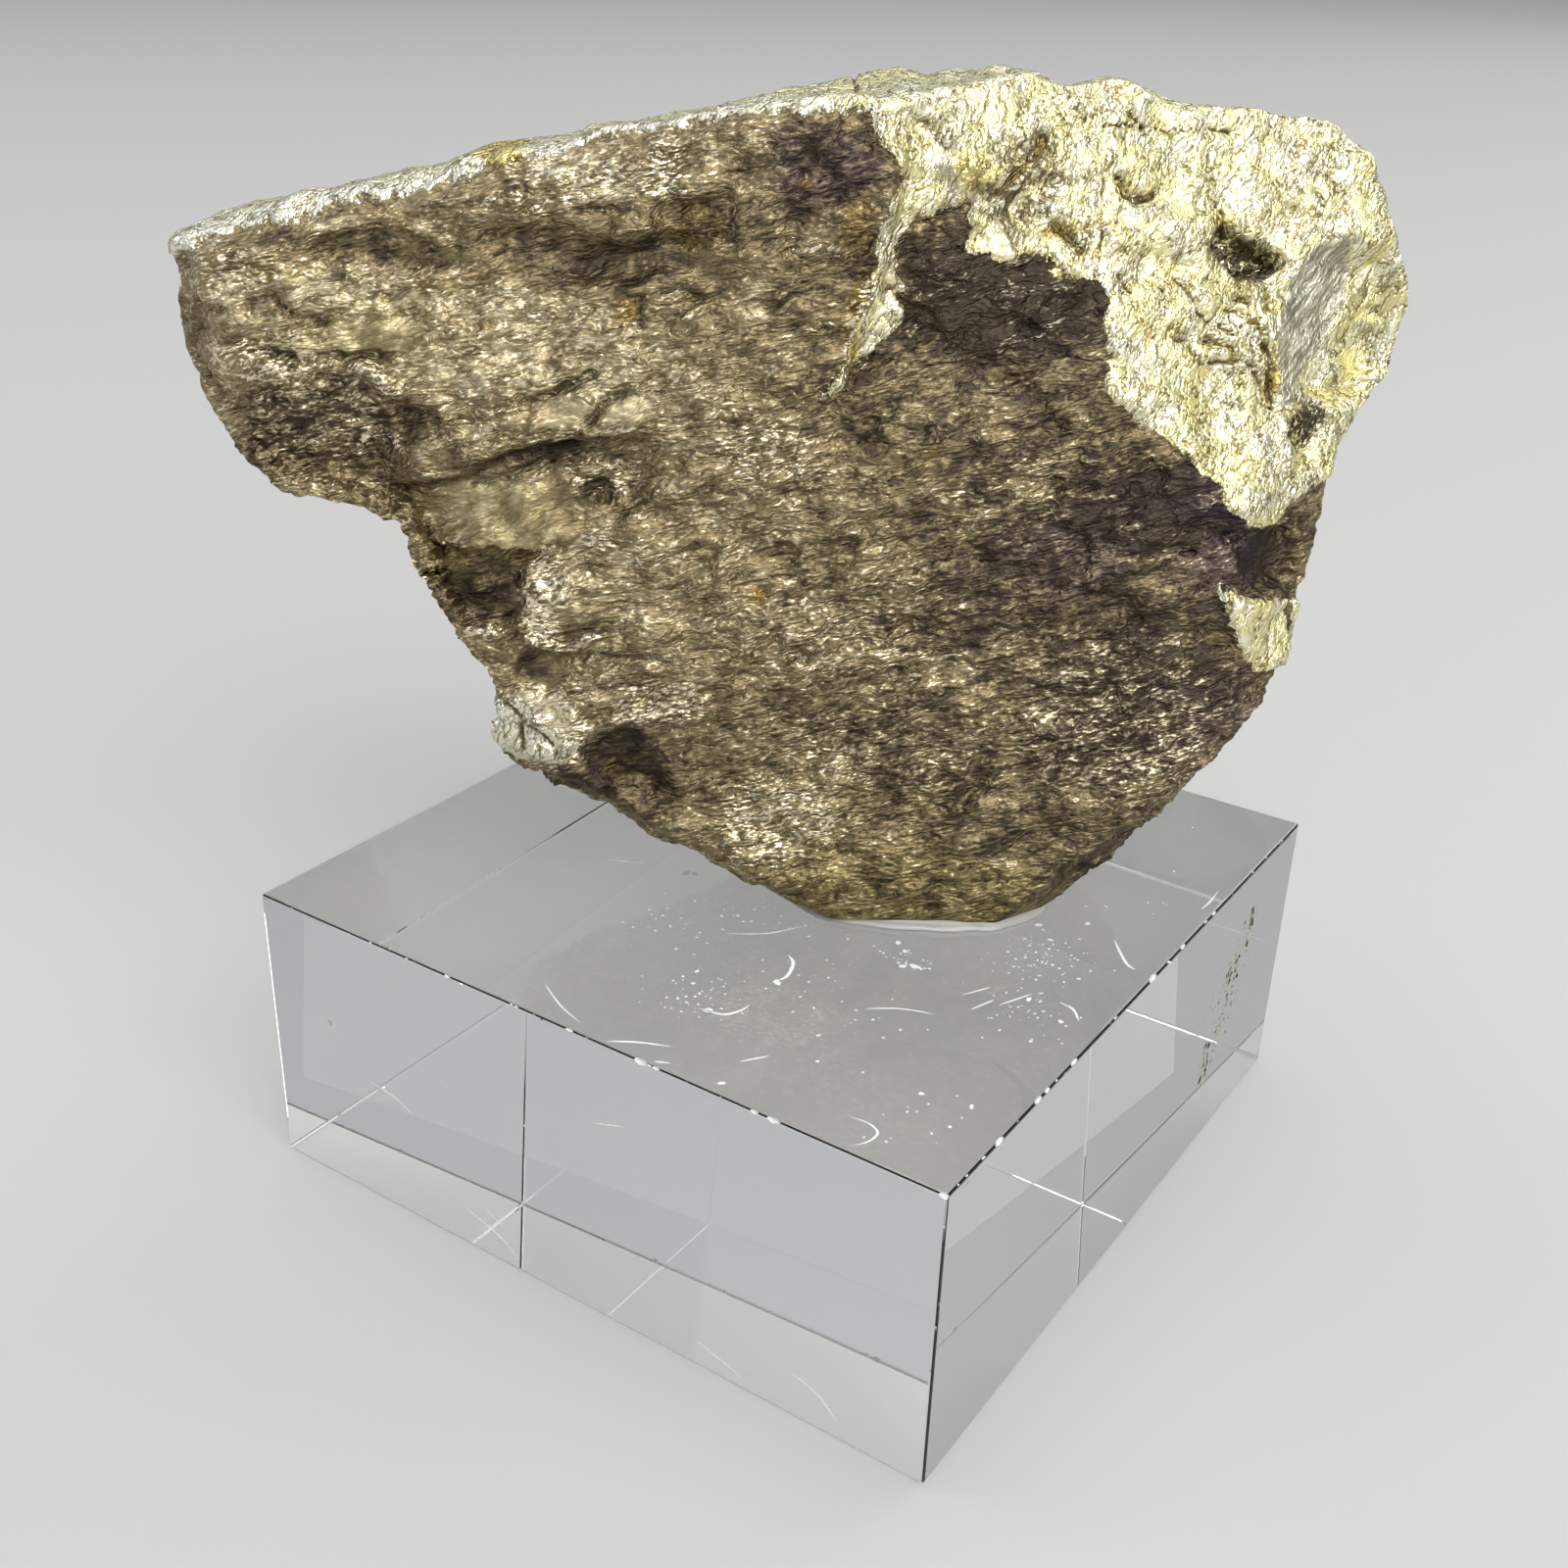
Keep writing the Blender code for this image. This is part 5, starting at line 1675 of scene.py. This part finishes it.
# %% Flakes and dust
BLOBS = [
    ((7.1, -13.9), 0.50), ((-5.1, -6.7), 0.60), ((-4.6, -6.4), 0.40), ((12.8, -7.5), 0.55),
    ((12.2, -7.9), 0.36), ((10.6, -5.8), 0.34), ((11.4, -6.4), 0.26), ((22.4, -17.8), 0.30),
    ((19.6, -18.4), 0.28), ((12.1, -17.1), 0.24), ((5.6, -18.7), 0.40), ((10.4, -24.0), 0.40),
    ((3.2, -17.0), 0.22), ((2.6, -15.8), 0.24), ((16.6, 1.4), 0.40), ((19.0, 3.4), 0.34),
    ((20.0, -6.6), 0.34), ((18.0, 0.2), 0.30), ((22.6, -7.6), 0.26), ((21.4, -2.8), 0.26),
]
DUST_CLOUDS = [
    ((18.5, -2.5), (3.4, 3.6), 90), ((12.0, -7.0), (2.4, 1.2), 34), ((4.5, -18.5), (4.0, 2.6), 44),
    ((9.0, -13.0), (8.0, 6.0), 60), ((20.5, -8.0), (3.0, 3.0), 40), ((-2.0, -13.0), (3.6, 4.0), 30),
    ((19.0, 9.0), (4.0, 8.0), 16), ((21.0, -20.0), (3.0, 3.0), 14), ((2.0, -8.5), (3.0, 1.6), 20),
]
print("flakes", len(BLOBS), "dust clouds", len(DUST_CLOUDS))

# %% The block's faces
MARK_LIFT = 0.012


def face_frame(middle, across, up):
    """Flat millimetres turned onto one face of the block."""
    across, up = Vector(across), Vector(up)
    turn = Matrix((across, up, across.cross(up))).transposed().to_4x4()
    return Matrix.Scale(MM, 4) @ Matrix.Translation(middle) @ turn


FACES = {
    "top": face_frame((0.0, 0.0, TOP + MARK_LIFT), (1, 0, 0), (0, 1, 0)),
    "front": face_frame((0.0, -HALF_SIDE - MARK_LIFT, 0.0), (1, 0, 0), (0, 0, 1)),
    "right": face_frame((HALF_SIDE + MARK_LIFT, 0.0, 0.0), (0, 1, 0), (0, 0, 1)),
}
print("faces with marks", list(FACES))

# %% [markdown]
# ## Drawing a sliver and a flake
# A sliver is a strip one square wide, bent along a smooth curve through its points, and it thins out at
# both ends, as a scratch does. A flake is a circle of seven corners, each pushed in or out by chance,
# squeezed and turned. Both are drawn flat in millimetres and then set onto a face of the block by that
# face's matrix.

# %% A smooth curve
def smooth_route(points, steps=5):
    """The drawn points joined by a smooth curve that passes through them."""
    padded = [points[0], *points, points[-1]]
    route = []
    for before, start, end, after in zip(padded, padded[1:], padded[2:], padded[3:]):
        for step in range(steps):
            t = step / steps
            spread = (
                2 * start[axis]
                + (end[axis] - before[axis]) * t
                + (2 * before[axis] - 5 * start[axis] + 4 * end[axis] - after[axis]) * t * t
                + (3 * start[axis] - before[axis] - 3 * end[axis] + after[axis]) * t**3
                for axis in (0, 1)
            )
            route.append(Vector([value / 2 for value in spread]))
    route.append(Vector(points[-1]))
    return route


print("curve through", HAIRLINES[0][0])

# %% A sliver and a flake
FLAKE_CORNERS = 7


def add_hairline(mesh, face, points, width):
    """A strip bent along a smooth curve, thinning out at both ends."""
    route = smooth_route(points)
    last = len(route) - 1
    strip = bmesh.ops.create_grid(mesh, x_segments=last, y_segments=1, size=1.0)["verts"]
    halves = []
    for index in range(last + 1):
        ahead = route[min(index + 1, last)] - route[max(index - 1, 0)]
        side = Vector((-ahead.y, ahead.x)).normalized()
        thinning = math.sin(math.pi * (index + 0.35) / (last + 0.7))
        halves.append(side * width / 2 * thinning * chances.uniform(0.7, 1.1))
    for vert in strip:
        index = round((vert.co.x + 1.0) / 2 * last)
        vert.co = FACES[face] @ (route[index] + halves[index] * vert.co.y).to_3d()


def add_speck(mesh, face, centre, size):
    """An uneven flake, no two alike."""
    flake = bmesh.ops.create_circle(mesh, cap_ends=True, segments=FLAKE_CORNERS, radius=size / 2)["verts"]
    turn = Matrix.Rotation(chances.uniform(0.0, math.tau), 4, "Z")
    stretch = Matrix.Diagonal((1.0, chances.uniform(0.45, 1.0), 1.0, 1.0))
    for vert in flake:
        vert.co *= chances.uniform(0.6, 1.15)
    place = FACES[face] @ Matrix.Translation((*centre, 0.0)) @ turn @ stretch
    bmesh.ops.transform(mesh, matrix=place, verts=flake)


print("sliver and flake helpers ready")

# %% Dust and hairlines on the block
FLAKE_GAIN = 1.5
DUST_MARGIN = 0.6


def block_marks():
    """Hairlines on the top and the front of the block, and flakes and dust on its top."""
    mesh = bmesh.new()
    for points, width in HAIRLINES:
        add_hairline(mesh, "top", points, width)
    for points, width in FRONT_HAIRLINES:
        add_hairline(mesh, "front", points, width)
    for centre, size in BLOBS:
        add_speck(mesh, "top", centre, FLAKE_GAIN * size)
    for (x, y), (reach_x, reach_y), count in DUST_CLOUDS:
        for _ in range(count):
            place = (x + chances.gauss(0.0, 0.5) * reach_x, y + chances.gauss(0.0, 0.5) * reach_y)
            if max(abs(place[0]), abs(place[1])) < HALF_SIDE - DUST_MARGIN:
                add_speck(mesh, "top", place, chances.uniform(0.08, 0.26))
    return mesh


dust_finish = simple_material("pale_dust", (0.86, 0.88, 0.87), 0.7)
dust = link_piece(block_marks(), "dust_and_hairlines", dust_finish, smooth=False)
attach(dust, "root")
print("dust faces", len(dust.data.polygons))

# %% [markdown]
# ## The wiped smudge
# A streak of fine grey-brown grime runs down the right face, broken up as if a cloth had gone over it. A
# single patch with a soft edge would look like a cloud in the plastic, so it is some hundreds of small
# flakes, spread about a slanting line and dropped where a slow noise is low.

# %% Smudge on the right face
SMUDGE_START = (17.6, 16.6)
SMUDGE_END = (11.6, 5.4)
SMUDGE_WIDTH = 2.6
SMUDGE_SPECKS = 460
GRIME = (0.42, 0.40, 0.33)


def smudge_marks():
    """A broken streak on the right face, and one dark speck on the front."""
    mesh = bmesh.new()
    for _ in range(SMUDGE_SPECKS):
        along = chances.random()
        aside = chances.gauss(0.0, 0.33) * SMUDGE_WIDTH * (0.5 + math.sin(math.pi * along))
        y = SMUDGE_START[0] + along * (SMUDGE_END[0] - SMUDGE_START[0]) + aside
        z = SMUDGE_START[1] + along * (SMUDGE_END[1] - SMUDGE_START[1]) - 0.35 * aside
        if noise.noise(Vector((y / 0.9, 3.0, z / 1.4))) > -0.12:
            add_speck(mesh, "right", (y, z), chances.uniform(0.20, 0.60))
    add_speck(mesh, "front", (-19.6, 12.4), 0.5)
    return mesh


grime_finish = simple_material("grey_grime", GRIME, 0.8)
smudge = link_piece(smudge_marks(), "wiped_smudge", grime_finish, smooth=False)
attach(smudge, "root")
print("smudge faces", len(smudge.data.polygons))

# %% [markdown]
# ## The glue
# Clear glue has crept out from under the stone and dried to a pale rim. It is a low mound: an outline a
# little wider than the foot, pushed about by noise, is extruded three times, and its cap shrinks as it
# rises. It is slightly cloudy, so it lets only part of the light through.

# %% Glue
GLUE_OUTLINE = [
    (-2.9, -2.0), (-2.2, -4.4), (-1.0, -6.3), (1.2, -8.3), (4.2, -9.0), (6.5, -9.25), (9.2, -9.25),
    (11.6, -9.0), (13.6, -8.0), (15.1, -6.2), (15.9, -2.4), (15.0, 1.8), (11.0, 4.4), (5.0, 4.8),
    (0.0, 4.0), (-2.4, 1.6),
]
GLUE_STEPS = [(0.14, 0.99), (0.20, 0.975), (0.25, 0.95)]
GLUE_WAVER = 0.22


def glue_mesh():
    """The mound, in the stone's frame and then placed in the world."""
    mesh = bmesh.new()
    ring = []
    for point in smooth_route(GLUE_OUTLINE + GLUE_OUTLINE[:1], steps=4)[:-1]:
        push = noise.noise_vector(Vector((point.x / 1.3, point.y / 1.3, 0.0))) * GLUE_WAVER
        ring.append(mesh.verts.new((point.x + push.x, point.y + push.y, MARK_LIFT)))
    cap = mesh.faces.new(ring)
    middle = cap.calc_center_median()
    centred = Matrix.Translation(-middle)
    for rise, shrink in GLUE_STEPS:
        grown = bmesh.ops.extrude_face_region(mesh, geom=[cap])["geom"]
        cap = next(item for item in grown if isinstance(item, bmesh.types.BMFace))
        bmesh.ops.scale(mesh, vec=(shrink, shrink, 1.0), space=centred, verts=cap.verts[:])
        bmesh.ops.translate(mesh, vec=(0, 0, rise), verts=cap.verts[:])
    bmesh.ops.recalc_face_normals(mesh, faces=mesh.faces[:])
    bmesh.ops.transform(mesh, matrix=STONE_TO_WORLD, verts=mesh.verts[:])
    return mesh


print("glue outline points", len(GLUE_OUTLINE))

# %% Glue's finish
GLUE_CLEARNESS = 0.6
GLUE_INDEX = 1.47
glue_finish = simple_material("clear_glue", (0.90, 0.90, 0.86), 0.35)
glue_shader = glue_finish.node_tree.nodes["Principled BSDF"]
glue_shader.inputs["Transmission Weight"].default_value = GLUE_CLEARNESS
glue_shader.inputs["IOR"].default_value = GLUE_INDEX
glue = link_piece(glue_mesh(), "glue_fillet", glue_finish)
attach(glue, "root")
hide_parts("glue_pad")
print("glue", [round(side / MM, 2) for side in glue.dimensions])

# %% [markdown]
# ## Up to date
# At the end the view layer is brought up to date. The surfaces should stay within a few hundredths of the
# solid's own box.

# %% Up to date
bpy.context.view_layer.update()
